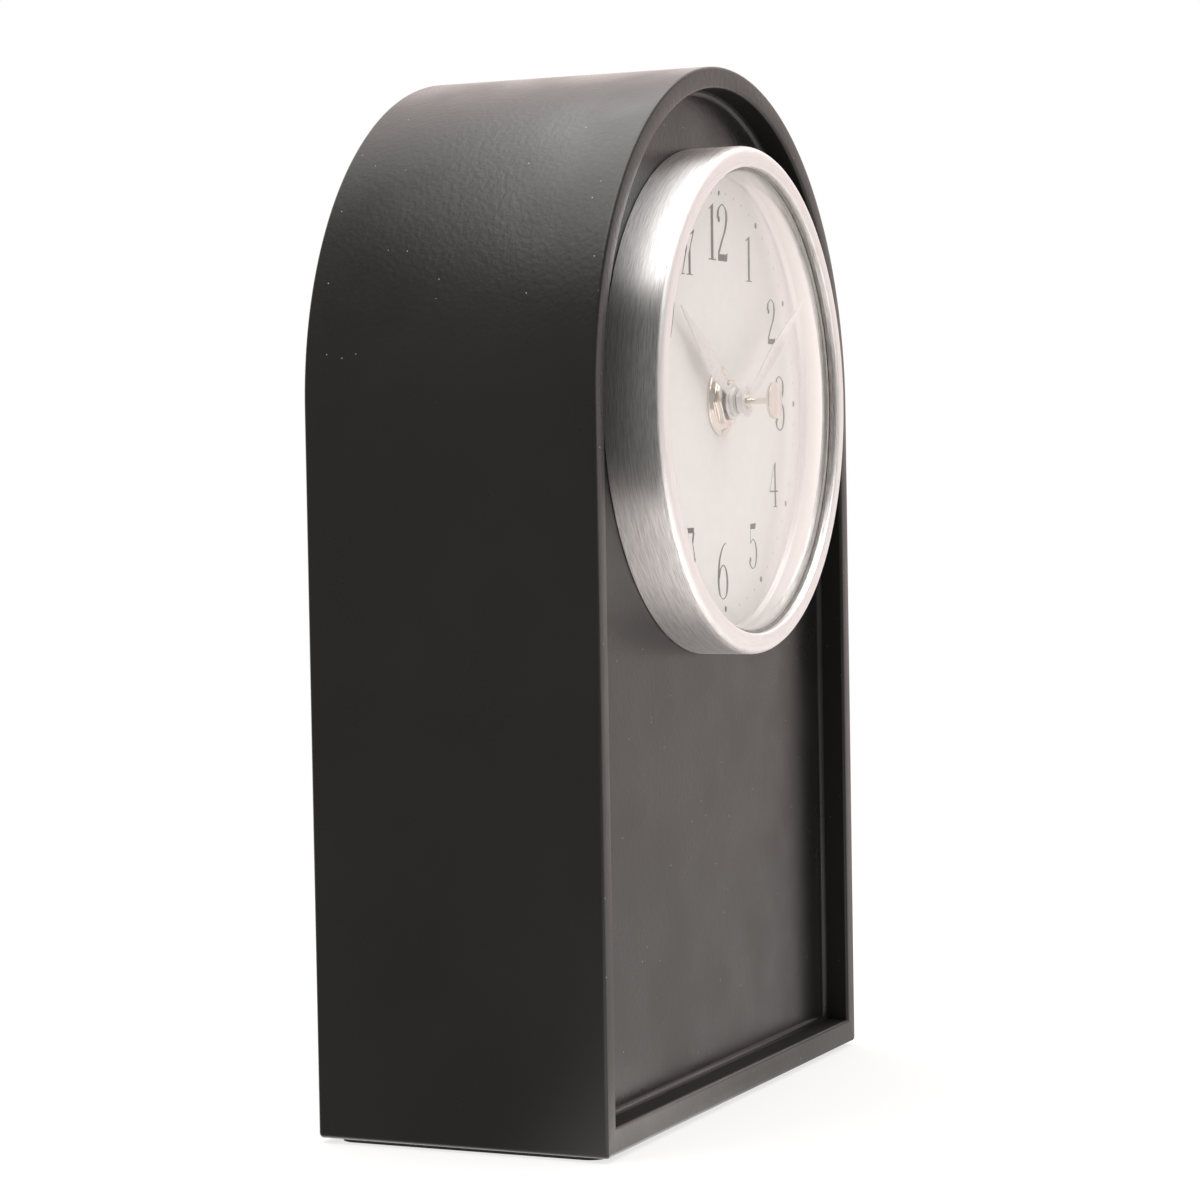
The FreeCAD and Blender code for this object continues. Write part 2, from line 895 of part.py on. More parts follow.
def seconds_cap():
    """Round cap that closes the seconds arbor, with a short stem pressed over it."""
    stem_end = cap_back + dim.cap_stem_length
    bore = dim.arbor_radius + dim.collet_gap
    turned("seconds_cap", [
        (0, cap_back - dim.cap_thick),
        (dim.cap_radius, cap_back - dim.cap_thick),
        (dim.cap_radius, cap_back),
        (dim.cap_stem_radius, cap_back),
        (dim.cap_stem_radius, stem_end),
        (bore, stem_end),
        (bore, cap_back),
        (0, cap_back),
    ])


# Toothed pieces

def gear(body, teeth, module, style, front, back, name, inner_shapes=()):
    """A disc to the roots, one straight-sided tooth on it, and the rest by pattern."""
    root_radius = module * (teeth / 2 - getattr(dim, style + "_root_share"))
    tip_radius = module * (teeth / 2 + getattr(dim, style + "_tip_share"))
    pad(body, [circle((0, 0), root_radius)] + list(inner_shapes), back, front, name + "_disc")
    tip_half = getattr(dim, style + "_tip_width_share") * 90 / teeth
    root_half = getattr(dim, style + "_root_width_share") * 180 / teeth / 2
    foot_radius = root_radius - module * dim.tooth_foot_share
    tooth = pad(body, [path([
        polar(foot_radius, 90 + root_half),
        polar(foot_radius, 90 - root_half),
        polar(tip_radius, 90 - tip_half),
        polar(tip_radius, 90 + tip_half),
    ])], back, front, name + "_tooth")
    doc.recompute()
    pattern = body.newObject("PartDesign::PolarPattern", name + "_teeth")
    pattern.Originals = [tooth]
    pattern.Axis = (tooth.Profile[0], ["N_Axis"])
    pattern.Angle = 360
    pattern.Occurrences = int(round(teeth.value))
    pattern.setExpression("Occurrences", teeth.text)
    body.Tip = pattern
    return tip_radius


def bind_turn(body, angle):
    """Turns a body about the Y axis, clockwise seen from the front."""
    body.Placement.Rotation = FreeCAD.Rotation(FreeCAD.Vector(0, 1, 0), angle.value)
    body.setExpression("Placement.Rotation.Angle", angle.text)


def meshed(direction, driver_tooth, driver_teeth, driven_teeth):
    """Direction of a driven gear's tooth, so that it falls in the driver's gap."""
    turn = (direction - driver_tooth) * driver_teeth / 360
    return direction + 180 - (0.5 - turn) * 360 / driven_teeth


# Directions in which each wheel's first tooth points
upright = as_size(90)
third_tooth = meshed(dim.third_bearing, upright, dim.second_leaves, dim.third_teeth)
centre_tooth = meshed(dim.third_bearing + 180, third_tooth, dim.third_leaves, dim.centre_teeth)
rate_tooth = meshed(dim.rate_bearing, upright, dim.second_teeth, dim.rate_leaves)
rotor_tooth = meshed(dim.rotor_bearing, rate_tooth, dim.rate_teeth, dim.rotor_leaves)
work_tooth = meshed(dim.work_bearing, upright, dim.cannon_leaves, dim.work_teeth)
hour_tooth = meshed(dim.work_bearing + 180, work_tooth, dim.work_leaves, dim.hour_teeth)
setting_tooth = meshed(dim.setting_bearing, work_tooth, dim.work_teeth, dim.setting_leaves)

front_boss_end = centre_front - dim.pinion_overlap - dim.end_gap
front_pivot_end = front_boss_end - dim.pivot_length
rear_pivot_end = boss_end + dim.pivot_length


def second_wheel():
    body = new_body("second_wheel")
    bore = circle((0, 0), dim.arbor_radius + dim.collet_gap)
    gear(body, dim.second_teeth, dim.rate_module, "wheel", second_front, second_back,
         "second_rim", [bore])
    gear(body, dim.second_leaves, second_module, "leaf", third_front - dim.pinion_overlap,
         second_front, "second_pinion", [bore])
    pad(body, [circle((0, 0), dim.hub_radius), bore], rate_front, second_back, "second_hub")
    place_on_arbor(body)


def second_arbor():
    turned("second_arbor", [
        (0, cap_back),
        (dim.arbor_radius, cap_back),
        (dim.arbor_radius, rear_pivot_end),
        (0, rear_pivot_end),
    ])


def third_wheel():
    body = new_body("third_wheel")
    gear(body, dim.third_teeth, second_module, "wheel", third_front, third_back, "third_rim")
    gear(body, dim.third_leaves, third_module, "leaf", centre_front - dim.pinion_overlap,
         third_front, "third_pinion")
    pad(body, [circle((0, 0), dim.boss_radius)], boss_end - dim.end_gap, third_back, "third_shoulder")
    pad(body, [circle((0, 0), dim.pivot_radius)], rear_pivot_end, front_pivot_end, "third_pivots")
    place_on_arbor(body, third_place)
    bind_turn(body, 90 - third_tooth)


def intermediate_wheel():
    body = new_body("intermediate_wheel")
    gear(body, dim.rate_teeth, dim.rotor_module, "wheel", rate_front, rate_back, "rate_rim")
    gear(body, dim.rate_leaves, dim.rate_module, "leaf", second_front - dim.pinion_overlap,
         rate_front, "rate_pinion")
    pad(body, [circle((0, 0), dim.pivot_radius)], rear_pivot_end, front_pivot_end, "rate_pivots")
    place_on_arbor(body, rate_place)
    bind_turn(body, 90 - rate_tooth)


def centre_wheel():
    body = new_body("centre_wheel")
    bore = circle((0, 0), dim.minute_neck_radius + dim.running_gap)
    gear(body, dim.centre_teeth, third_module, "wheel", centre_front, centre_back, "centre_rim",
         [bore])
    pad(body, [circle((0, 0), dim.hub_radius + dim.end_gap), bore], centre_front,
        minute_back + dim.pinion_overlap + dim.running_gap, "centre_hub")
    place_on_arbor(body)
    bind_turn(body, 90 - centre_tooth)


def minute_pipe():
    """Tube for the minute hand with the cannon pinion cut on its rear end."""
    front = minute_plane - dim.minute_pipe_past
    bore = circle((0, 0), dim.minute_pipe_bore)
    pinion_front = minute_front - dim.running_gap
    pinion_back = minute_back + dim.pinion_overlap
    body = new_body("minute_pipe")
    gear(body, dim.cannon_leaves, cannon_module, "leaf", pinion_front, pinion_back,
         "cannon_pinion", [bore])
    pad(body, [circle((0, 0), dim.minute_pipe_radius), bore], pinion_front, front, "minute_tube")
    neck_end = centre_back + dim.running_gap
    pad(body, [circle((0, 0), dim.minute_neck_radius), bore], neck_end, pinion_back, "minute_neck")
    collar_end = neck_end + dim.end_gap
    pad(body, [circle((0, 0), dim.hub_radius), bore], collar_end, neck_end, "minute_collar")
    place_on_arbor(body)


def minute_wheel():
    body = new_body("minute_wheel")
    bore = circle((0, 0), dim.work_post_radius + dim.running_gap)
    gear(body, dim.work_teeth, cannon_module, "wheel", minute_front, minute_back, "work_rim", [bore])
    gear(body, dim.work_leaves, hour_module, "leaf", hour_front, minute_front, "work_pinion", [bore])
    place_on_arbor(body, work_place)
    bind_turn(body, 90 - work_tooth)


def hour_wheel():
    body = new_body("hour_wheel")
    bore = circle((0, 0), dim.hour_pipe_bore)
    gear(body, dim.hour_teeth, hour_module, "wheel", hour_front, hour_back, "hour_rim", [bore])
    front = hour_plane - dim.hour_collet_length - dim.hour_pipe_past
    pad(body, [circle((0, 0), dim.hour_pipe_radius), bore], hour_front, front, "hour_tube")
    place_on_arbor(body)
    bind_turn(body, 90 - hour_tooth)


knob_front = cover_back + dim.setting_knob_gap


def setting_arbor():
    body = new_body("setting_arbor")
    gear(body, dim.setting_leaves, cannon_module, "leaf", minute_front, minute_back, "setting_pinion")
    pad(body, [circle((0, 0), dim.setting_radius)], knob_front + dim.setting_knob_height / 2,
        minute_back, "setting_shaft")
    pad(body, [circle((0, 0), dim.pivot_radius)], minute_front, setting_pivot_end, "setting_pivot")
    place_on_arbor(body, setting_place)
    bind_turn(body, 90 - setting_tooth)


setting_boss_end = minute_front - dim.end_gap
setting_pivot_end = setting_boss_end - dim.pivot_length / 2


def setting_knob():
    """Round knob with grip flutes round its edge, pressed on the setting arbor."""
    body = new_body("setting_knob")
    back = knob_front + dim.setting_knob_height
    pad(body, [circle((0, 0), dim.setting_knob_radius)], back, knob_front, "knob_disc")
    floor = knob_front + dim.setting_knob_height / 2
    pocket(body, [circle((0, 0), dim.setting_radius + dim.collet_gap)], knob_front - dim.overrun,
           floor, "knob_bore")
    flutes = []
    step = 360 / count("knob_flute_count")
    half = step * dim.knob_flute_share / 2
    rim = dim.setting_knob_radius + dim.knob_flute_depth
    floor_radius = dim.setting_knob_radius - dim.knob_flute_depth
    for index in range(count("knob_flute_count")):
        middle = index * step
        flutes.append(path([
            polar(rim, middle - half),
            polar(rim, middle + half),
            polar(floor_radius, middle),
        ]))
    pocket(body, flutes, knob_front, back + dim.overrun, "knob_flutes")
    place_on_arbor(body, setting_place)


# Motor

def rotor_magnet():
    tube("rotor_magnet", dim.magnet_bore + dim.collet_gap, dim.magnet_radius, magnet_front,
         magnet_back, rotor_place)


rotor_boss_end = magnet_front - dim.end_gap - dim.end_gap
rotor_pivot_end = rotor_boss_end - dim.pivot_length


def rotor_pinion():
    """Moulded spindle: the magnet sits on its thick end, the leaves are at the rear."""
    body = new_body("rotor_pinion")
    leaves_front = rate_front - dim.pinion_overlap
    gear(body, dim.rotor_leaves, dim.rotor_module, "leaf", leaves_front, rate_back, "rotor_leaf")
    pad(body, [circle((0, 0), dim.magnet_bore)], magnet_back, magnet_front, "rotor_spindle")
    pad(body, [circle((0, 0), dim.magnet_bore + dim.pivot_radius)], leaves_front, magnet_back,
        "rotor_collar")
    pad(body, [circle((0, 0), dim.pivot_radius)], magnet_front, rotor_pivot_end, "rotor_front_pivot")
    pad(body, [circle((0, 0), dim.pivot_radius)], rear_pivot_end, rate_back, "rotor_rear_pivot")
    place_on_arbor(body, rotor_place)
    bind_turn(body, 90 - rotor_tooth)


def stator_plate():
    """C-shaped pole plate: the rotor hole sits in its upright, a leg at each end."""
    body = new_body("stator_plate")
    hole = dim.magnet_radius + dim.pole_gap
    x = rotor_place[0]
    left = x - hole - dim.pole_neck
    right = x + hole + dim.pole_neck
    outline = path([
        (left, -dim.stator_bottom),
        (dim.stator_reach, -dim.stator_bottom),
        (dim.stator_reach, -dim.stator_bottom + dim.stator_leg),
        (right, -dim.stator_bottom + dim.stator_leg),
        (right, dim.stator_top - dim.stator_leg),
        (dim.stator_reach, dim.stator_top - dim.stator_leg),
        (dim.stator_reach, dim.stator_top),
        (left, dim.stator_top),
    ])
    pad(body, [outline, circle(rotor_place, hole)], stator_back, stator_front, "stator_sheet")
    place_on_arbor(body)


coil_x = dim.stator_reach - dim.stator_leg / 2 - dim.core_width / 4
core_back = stator_back + dim.core_thick


def coil_core():
    body = new_body("coil_core")
    half = dim.core_width / 2
    bar = rectangle(coil_x - half, -dim.stator_bottom, coil_x + half, dim.stator_top)
    pad(body, [bar], core_back, stator_back, "core_bar")
    place_on_arbor(body)


def coil_bobbin():
    """Spool round the core: a tube with a flange at each end, drawn along Z."""
    body = new_body("coil_bobbin")
    low = -dim.stator_bottom + dim.stator_leg + dim.coil_gap
    high = dim.stator_top - dim.stator_leg - dim.coil_gap
    middle_y = stator_back + dim.core_thick / 2
    half_x = dim.core_width / 2 + dim.coil_gap
    half_y = dim.core_thick / 2 + dim.coil_gap
    window = path([
        (coil_x - half_x, middle_y - half_y),
        (coil_x + half_x, middle_y - half_y),
        (coil_x + half_x, middle_y + half_y),
        (coil_x - half_x, middle_y + half_y),
    ])
    tube_radius = root(half_x * half_x + half_y * half_y) + dim.bobbin_wall
    centre = (coil_x, middle_y)
    stack(body, [circle(centre, tube_radius), window], low, high, "bobbin_tube")
    flange = [circle(centre, dim.bobbin_flange), window]
    stack(body, flange, low, low + dim.bobbin_flange_thick, "bobbin_foot")
    stack(body, flange, high - dim.bobbin_flange_thick, high, "bobbin_head")
    place_on_arbor(body)
    return tube_radius, low + dim.bobbin_flange_thick, high - dim.bobbin_flange_thick, centre


def coil_winding(tube_radius, low, high, centre):
    body = new_body("coil_winding")
    shapes = [circle(centre, dim.coil_radius), circle(centre, tube_radius + dim.collet_gap)]
    stack(body, shapes, low, high, "winding")
    place_on_arbor(body)


# Circuit

board_back_y = inner_front + dim.board_level + dim.board_thick


def circuit_board():
    body = new_body("circuit_board")
    outline = rectangle(-dim.board_left, dim.board_low, dim.board_right, dim.board_high)
    pad(body, [outline], board_back_y, board_back_y - dim.board_thick, "board_sheet")
    place_on_arbor(body)


def timing_chip():
    body = new_body("timing_chip")
    half = dim.chip_side / 2
    z = (dim.board_low + dim.board_high) / 2
    x = -dim.chip_place
    outline = rectangle(x - half, z - half, x + half, z + half)
    pad(body, [outline], board_back_y + dim.chip_thick, board_back_y, "chip_block")
    place_on_arbor(body)


def crystal_can():
    """Small capped cylinder that lies along X on the circuit board."""
    body = new_body("crystal_can")
    sketch = new_sketch(body, "XY_Plane", "can_section")
    draw_path(sketch, [
        (0, 0),
        (dim.can_length, 0),
        (dim.can_length, dim.can_radius),
        (0, dim.can_radius),
    ])
    feature = body.newObject("PartDesign::Revolution", "can_spin")
    feature.Profile = sketch
    feature.ReferenceAxis = (sketch, ["H_Axis"])
    feature.Angle = 360
    middle = (dim.board_low + dim.board_high) / 2
    place_on_arbor(body, (-dim.can_place - dim.can_length / 2, middle))
    body.setExpression("Placement.Base.y", (board_back_y + dim.can_radius + dim.collet_gap).text)


# Battery and its contacts

def battery():
    body = new_body("battery")
    low = -(dim.battery_length + dim.battery_nub_length) / 2
    shoulder = low + dim.battery_nub_length
    high = shoulder + dim.battery_length
    radius = dim.battery_radius
    corner = dim.battery_bevel
    sketch = new_sketch(body, "XY_Plane", "battery_section")
    draw_path(sketch, [
        (low, 0),
        (high, 0),
        (high, radius - corner),
        (high - corner, radius),
        (shoulder + corner, radius),
        (shoulder, radius - corner),
        (shoulder, dim.battery_nub_radius),
        (low, dim.battery_nub_radius),
    ])
    feature = body.newObject("PartDesign::Revolution", "battery_spin")
    feature.Profile = sketch
    feature.ReferenceAxis = (sketch, ["H_Axis"])
    feature.Angle = 360
    place_on_arbor(body, (0, battery_z))
    body.setExpression("Placement.Base.y", battery_y.text)


def contact(label, side):
    """Bowed leaf on an end wall of the bay; side is -1 for the left, 1 for the right."""
    body = new_body(label)
    wall = side * inner_half
    inner = side * (inner_half - dim.contact_thick)
    reach = (dim.battery_length + dim.battery_nub_length) / 2 + dim.contact_gap
    bow = inner_half - dim.contact_thick - reach
    low = inner_front + dim.battery_gap
    high = low + 2 * dim.battery_radius
    foot = dim.battery_bevel
    half_chord = dim.battery_radius - foot
    radius = (half_chord * half_chord + bow * bow) / (2 * bow)
    towards = "left" if side < 0 else "right"
    back = "right" if side < 0 else "left"
    outline = path([
        (wall, low),
        (inner, low),
        (inner, low + foot),
        (inner, high - foot, radius, towards),
        (inner, high),
        (wall, high),
        (wall, high - foot),
        (wall, low + foot, radius, back),
    ])
    half = dim.contact_width / 2
    stack(body, [outline], battery_z - half, battery_z + half, label + "_leaf")
    place_on_arbor(body)


# Movement housing

def post_places():
    board_middle = (dim.board_low + dim.board_high) / 2
    inset = 2 * dim.post_radius
    board_posts = [(-dim.board_left + inset, board_middle), (dim.board_right - inset, board_middle)]
    plate_x = rotor_place[0]
    plate_posts = [(plate_x, dim.stator_top - dim.stator_leg / 2),
                   (plate_x, -dim.stator_bottom + dim.stator_leg / 2)]
    return board_posts, plate_posts


def movement_case():
    """Moulded tray: one bay for the train and motor, one for the battery."""
    body = new_body("movement_case")
    outline = rounded(-half_side, -half_side, half_side, half_side, dim.movement_corner)
    pad(body, [outline], cover_front, work_front, "tray_block")
    end = cover_front + dim.overrun
    pocket(body, [rectangle(-inner_half, train_low, inner_half, inner_half)],
           inner_front, end, "train_bay")
    pocket(body, [rectangle(-inner_half, bay_low, inner_half, bay_high)],
           inner_front, end, "battery_bay")
    pocket(body, [circle((0, 0), dim.bush_radius + dim.collet_gap)],
           work_front - dim.overrun, inner_front, "bush_hole")
    pocket(body, [circle((0, 0), dim.bush_flange + dim.collet_gap)],
           inner_front - dim.bush_flange_thick, inner_front, "flange_seat")
    board_posts, plate_posts = post_places()
    pad(body, [circle(place, dim.post_radius) for place in board_posts],
        board_back_y - dim.board_thick, inner_front, "board_posts")
    pad(body, [circle(place, dim.post_radius) for place in plate_posts],
        stator_front, inner_front, "plate_posts")
    pad(body, [circle(work_place, dim.work_post_radius)],
        minute_back + dim.end_gap, inner_front, "work_post")
    hole_radius = dim.pivot_radius + dim.running_gap
    for name, places, boss, pivot in (
        ("train", [third_place, rate_place], front_boss_end, front_pivot_end),
        ("rotor", [rotor_place], rotor_boss_end, rotor_pivot_end),
        ("setting", [setting_place], setting_boss_end, setting_pivot_end),
    ):
        pad(body, [circle(place, dim.boss_radius) for place in places], boss, inner_front,
            name + "_boss")
        pocket(body, [circle(place, hole_radius) for place in places], pivot - dim.running_gap,
               boss + dim.running_gap, name + "_pivot_hole")
    place_on_arbor(body)


def movement_cover():
    """Flat cover over the train bay, with a locating lip and the rear bearings."""
    body = new_body("movement_cover")
    corner = dim.movement_corner
    low = train_low - dim.bay_wall
    outline = path([
        (-half_side, low),
        (half_side, low),
        (half_side, half_side - corner),
        (half_side - corner, half_side, corner, "left"),
        (-half_side + corner, half_side),
        (-half_side, half_side - corner, corner, "left"),
    ])
    pad(body, [outline], cover_back, cover_front, "cover_sheet")
    outer = inner_half - dim.lip_gap
    inner = outer - dim.cover_lip_wall
    outside = rectangle(-outer, train_low + dim.lip_gap, outer, outer)
    inside = rectangle(-inner, train_low + dim.lip_gap + dim.cover_lip_wall, inner, inner)
    pad(body, [outside, inside], cover_front, cover_front - dim.cover_lip_height, "cover_lip")
    pivots = [third_place, rate_place, rotor_place]
    bosses = pivots + [(0, 0)]
    pad(body, [circle(place, dim.boss_radius) for place in bosses], cover_front, boss_end,
        "cover_bosses")
    pad(body, [circle(setting_place, dim.setting_radius + 2 * dim.cover_lip_wall)], cover_front,
        cover_front - dim.cover_lip_height, "setting_bearing")
    pocket(body, [circle(place, dim.pivot_radius + dim.running_gap) for place in pivots],
           boss_end - dim.running_gap, rear_pivot_end + dim.running_gap, "pivot_holes")
    pocket(body, [circle((0, 0), dim.arbor_radius + dim.running_gap)],
           boss_end - dim.running_gap, rear_pivot_end + dim.running_gap, "arbor_hole")
    pocket(body, [circle(setting_place, dim.setting_radius + dim.running_gap)],
           cover_front - dim.overrun - dim.cover_lip_height, cover_back + dim.overrun, "setting_hole")
    place_on_arbor(body)


# Build

case_shell()
front_panel()
side_blocks()
top_block()
back_panel()
back_panel_screws()
base_felt()
bezel_ring()
bezel_screws()
lens()
lens_gasket()
inner_ring()
dial_plate()
dial_backer()
threaded_bush()
rubber_washer()
dome_washer()
hex_nut()
hour_hand()
hour_collet()
minute_hand()
minute_collet()
seconds_cap()
movement_case()
movement_cover()
second_wheel()
second_arbor()
third_wheel()
intermediate_wheel()
centre_wheel()
minute_pipe()
minute_wheel()
hour_wheel()
setting_arbor()
setting_knob()
rotor_magnet()
rotor_pinion()
stator_plate()
coil_core()
spool = coil_bobbin()
coil_winding(*spool)
circuit_board()
timing_chip()
crystal_can()
battery()
contact("positive_contact", -1)
contact("negative_contact", 1)

doc.recompute()
for thing in doc.Objects:
    if "Invalid" in thing.State or "Error" in thing.State:
        raise RuntimeError(thing.Label + " did not build")
for part in PARTS:
    if part.Shape.isNull() or not part.Shape.isValid():
        raise RuntimeError(part.Label + " has no valid shape")

os.makedirs("parts", exist_ok=True)
for part in PARTS:
    part.Shape.exportStep("parts/" + part.Label + ".step")
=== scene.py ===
import math

import bmesh
import bpy
from mathutils import Matrix, Vector


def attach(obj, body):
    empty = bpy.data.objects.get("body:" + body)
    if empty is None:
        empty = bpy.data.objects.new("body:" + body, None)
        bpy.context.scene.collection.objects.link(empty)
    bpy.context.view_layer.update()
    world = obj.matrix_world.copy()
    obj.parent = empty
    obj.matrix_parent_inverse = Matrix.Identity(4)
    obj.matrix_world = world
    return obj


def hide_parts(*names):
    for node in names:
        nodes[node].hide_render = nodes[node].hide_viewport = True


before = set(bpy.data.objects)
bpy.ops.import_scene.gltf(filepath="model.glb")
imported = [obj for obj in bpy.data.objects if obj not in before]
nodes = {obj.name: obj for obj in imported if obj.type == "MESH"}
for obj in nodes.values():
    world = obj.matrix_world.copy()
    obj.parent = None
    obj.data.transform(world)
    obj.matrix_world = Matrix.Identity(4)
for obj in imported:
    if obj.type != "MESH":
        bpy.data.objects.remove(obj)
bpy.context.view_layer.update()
MM = 0.001


# Studio: a white sweep under soft lamps, in a room that is dark in front of the clock
# and at its left, with a pale card at its front right and light above and behind. The
# camera stands off the clock's left, a little in front and above its middle.

YAW, PITCH, ROLL = 1.1504, -0.0405, -0.0171
SENSOR = 36.0
LENS_RATIO = 3331.69 / 1200
NEAR_CLIP = 0.05
CAMERA_PLACE = Vector((-0.71983, -0.32234, 0.14882))


def aimed(yaw, pitch, roll):
    """Camera axes as a matrix, from its turn, tilt and roll."""
    ahead = Vector((math.sin(yaw) * math.cos(pitch), math.cos(yaw) * math.cos(pitch), math.sin(pitch)))
    right = Vector((math.cos(yaw), -math.sin(yaw), 0))
    up = right.cross(ahead)
    rolled_right = math.cos(roll) * right + math.sin(roll) * up
    rolled_up = -math.sin(roll) * right + math.cos(roll) * up
    return Matrix((rolled_right, rolled_up, -ahead)).transposed()


camera_data = bpy.data.cameras.new("photo_camera")
camera_data.sensor_width = SENSOR
camera_data.lens = SENSOR * LENS_RATIO
camera_data.clip_start = NEAR_CLIP
camera = bpy.data.objects.new("photo_camera", camera_data)
camera.matrix_world = Matrix.Translation(CAMERA_PLACE) @ aimed(YAW, PITCH, ROLL).to_4x4()
bpy.context.scene.collection.objects.link(camera)
bpy.context.scene.camera = camera
bpy.context.scene.view_settings.view_transform = "Standard"


def add(tree, kind, inputs=None, **settings):
    """Adds a shader node; each input is a value or another node's socket."""
    made = tree.nodes.new(kind)
    for key, value in settings.items():
        setattr(made, key, value)
    for key, value in (inputs or {}).items():
        if isinstance(value, bpy.types.NodeSocket):
            tree.links.new(value, made.inputs[key])
        else:
            made.inputs[key].default_value = value
    return made


def sums(tree, operation, first, second, clamp=False):
    """The result of one sum, such as ADD, MULTIPLY or MAXIMUM."""
    made = add(tree, "ShaderNodeMath", {0: first, 1: second}, operation=operation, use_clamp=clamp)
    return made.outputs[0]


def ramp(tree, value, low, high, start=0.0, end=1.0, smooth=True):
    """Maps a value from low..high to start..end."""
    kind = "SMOOTHSTEP" if smooth else "LINEAR"
    inputs = {"Value": value, "From Min": low, "From Max": high, "To Min": start, "To Max": end}
    return add(tree, "ShaderNodeMapRange", inputs, interpolation_type=kind).outputs["Result"]


def length_of(tree, vector):
    return add(tree, "ShaderNodeVectorMath", {0: vector}, operation="LENGTH").outputs["Value"]


def mixed_value(tree, share, first, second):
    return add(tree, "ShaderNodeMix", {0: share, 2: first, 3: second}).outputs[0]


def mixed_shader(tree, share, first, second):
    return add(tree, "ShaderNodeMixShader", {0: share, 1: first, 2: second}).outputs[0]


def mixed_colour(tree, share, first, second):
    """Mixes two colours, each three numbers or a socket, from the first to the second."""
    made = add(tree, "ShaderNodeMix", {0: share}, data_type="RGBA")
    for index, value in ((6, first), (7, second)):
        if isinstance(value, bpy.types.NodeSocket):
            tree.links.new(value, made.inputs[index])
        else:
            made.inputs[index].default_value = (*value, 1)
    return made.outputs[2]


# Bearings run in radians from straight in front of the dial round by the right.
CARD_STARTS = (0.35, 0.60)
CARD_STOPS = (1.180, 1.210)
GAP_CLEARS = (1.215, 1.30)
BACK_STARTS = (1.5, 1.9)
STRIP_STOPS = (1.95, 2.15)
BACK_STOPS = (2.95, 3.12)
WARMTH_STARTS = (0.1, 0.5)
ROOM_DARK = 0.36
CARD_GLOW = 0.98
CARD_EDGE = 0.60
GAP_GLOW = 0.95
BACK_GLOW = 1.5
STRIP_GLOW = 0.35
# Heights and depths here are those of a direction of length 1; depth grows to the back.
TOP_STARTS = (0.40, 0.90)
TOP_POWER = 2.0
TOP_GLOW = 2.7
BOOST_STARTS = (0.18, 0.32)
BOOST_STOPS = (0.38, 0.50)
BOOST = 1.9
BEHIND_BOOST = 0.45
FRONT_TOP_STARTS = (0.66, 0.86)
FRONT_TOP_STOPS = (0.02, 0.34)
FRONT_TOP_GLOW = 4.8
TOP_TINT_STARTS = (0.6, 0.85)
TOP_TINT = (1.0, 0.98, 0.97)
SIDE_TINT = (1.0, 0.985, 0.955)
WARM_TINT = (1.0, 0.875, 0.84)
WHITE = (1.0, 1.0, 1.0)

world = bpy.data.worlds.new("studio")
bpy.context.scene.world = world
world.use_nodes = True
sky = world.node_tree
sky.nodes.clear()
toward = add(sky, "ShaderNodeTexCoord").outputs["Generated"]
side, depth, height = add(sky, "ShaderNodeSeparateXYZ", {0: toward}).outputs
bearing = sums(sky, "ARCTAN2", side, sums(sky, "MULTIPLY", depth, -1.0))
card = ramp(sky, bearing, *CARD_STARTS, ROOM_DARK, CARD_GLOW)
gap = ramp(sky, bearing, *GAP_CLEARS, CARD_EDGE, GAP_GLOW)
gap = sums(sky, "ADD", gap, ramp(sky, bearing, *BACK_STARTS, 0.0, BACK_GLOW - GAP_GLOW))
gap = sums(sky, "ADD", gap, ramp(sky, bearing, *STRIP_STOPS, STRIP_GLOW, 0.0))
around_back = mixed_value(sky, ramp(sky, bearing, *CARD_STOPS), card, gap)
beside = mixed_value(sky, ramp(sky, bearing, *BACK_STOPS), around_back, ROOM_DARK)
over = sums(sky, "POWER", ramp(sky, height, *TOP_STARTS, smooth=False), TOP_POWER)
boost_rises = ramp(sky, depth, *BOOST_STARTS, 1.0, BOOST)
boost_falls = ramp(sky, depth, *BOOST_STOPS, BOOST, BEHIND_BOOST)
over = sums(sky, "MULTIPLY", over, sums(sky, "MINIMUM", boost_rises, boost_falls))
lit = sums(sky, "MAXIMUM", beside, sums(sky, "MULTIPLY", over, TOP_GLOW))
path = add(sky, "ShaderNodeLightPath")
front_top = ramp(sky, height, *FRONT_TOP_STARTS, 0.0, path.outputs["Is Glossy Ray"])
front_top = sums(sky, "MULTIPLY", front_top, ramp(sky, depth, *FRONT_TOP_STOPS, 1.0, 0.0))
lit = sums(sky, "MAXIMUM", lit, sums(sky, "MULTIPLY", front_top, FRONT_TOP_GLOW))
tint = mixed_colour(sky, ramp(sky, bearing, *WARMTH_STARTS), SIDE_TINT, WARM_TINT)
tint = mixed_colour(sky, ramp(sky, height, *TOP_TINT_STARTS), tint, TOP_TINT)
# The camera sees plain white behind the clock, and only the clock sees the room.
tint = mixed_colour(sky, path.outputs["Is Camera Ray"], tint, WHITE)
seen = mixed_value(sky, path.outputs["Is Camera Ray"], lit, 1.0)
backdrop = add(sky, "ShaderNodeBackground", {"Color": tint, "Strength": seen})
add(sky, "ShaderNodeOutputWorld", {0: backdrop.outputs[0]})

LAMP_TINT = (1.0, 0.955, 0.94)


def area_lamp(name, place, target, width, height, watts):
    """A soft lamp whose own shape isn't mirrored; the room is what shines back."""
    data = bpy.data.lights.new(name, "AREA")
    data.shape = "RECTANGLE"
    data.size = width
    data.size_y = height
    data.energy = watts
    data.color = LAMP_TINT
    lamp = bpy.data.objects.new(name, data)
    lamp.location = place
    lamp.rotation_euler = (Vector(place) - Vector(target)).to_track_quat("Z", "Y").to_euler()
    lamp.visible_glossy = False
    lamp.visible_transmission = False
    bpy.context.scene.collection.objects.link(lamp)


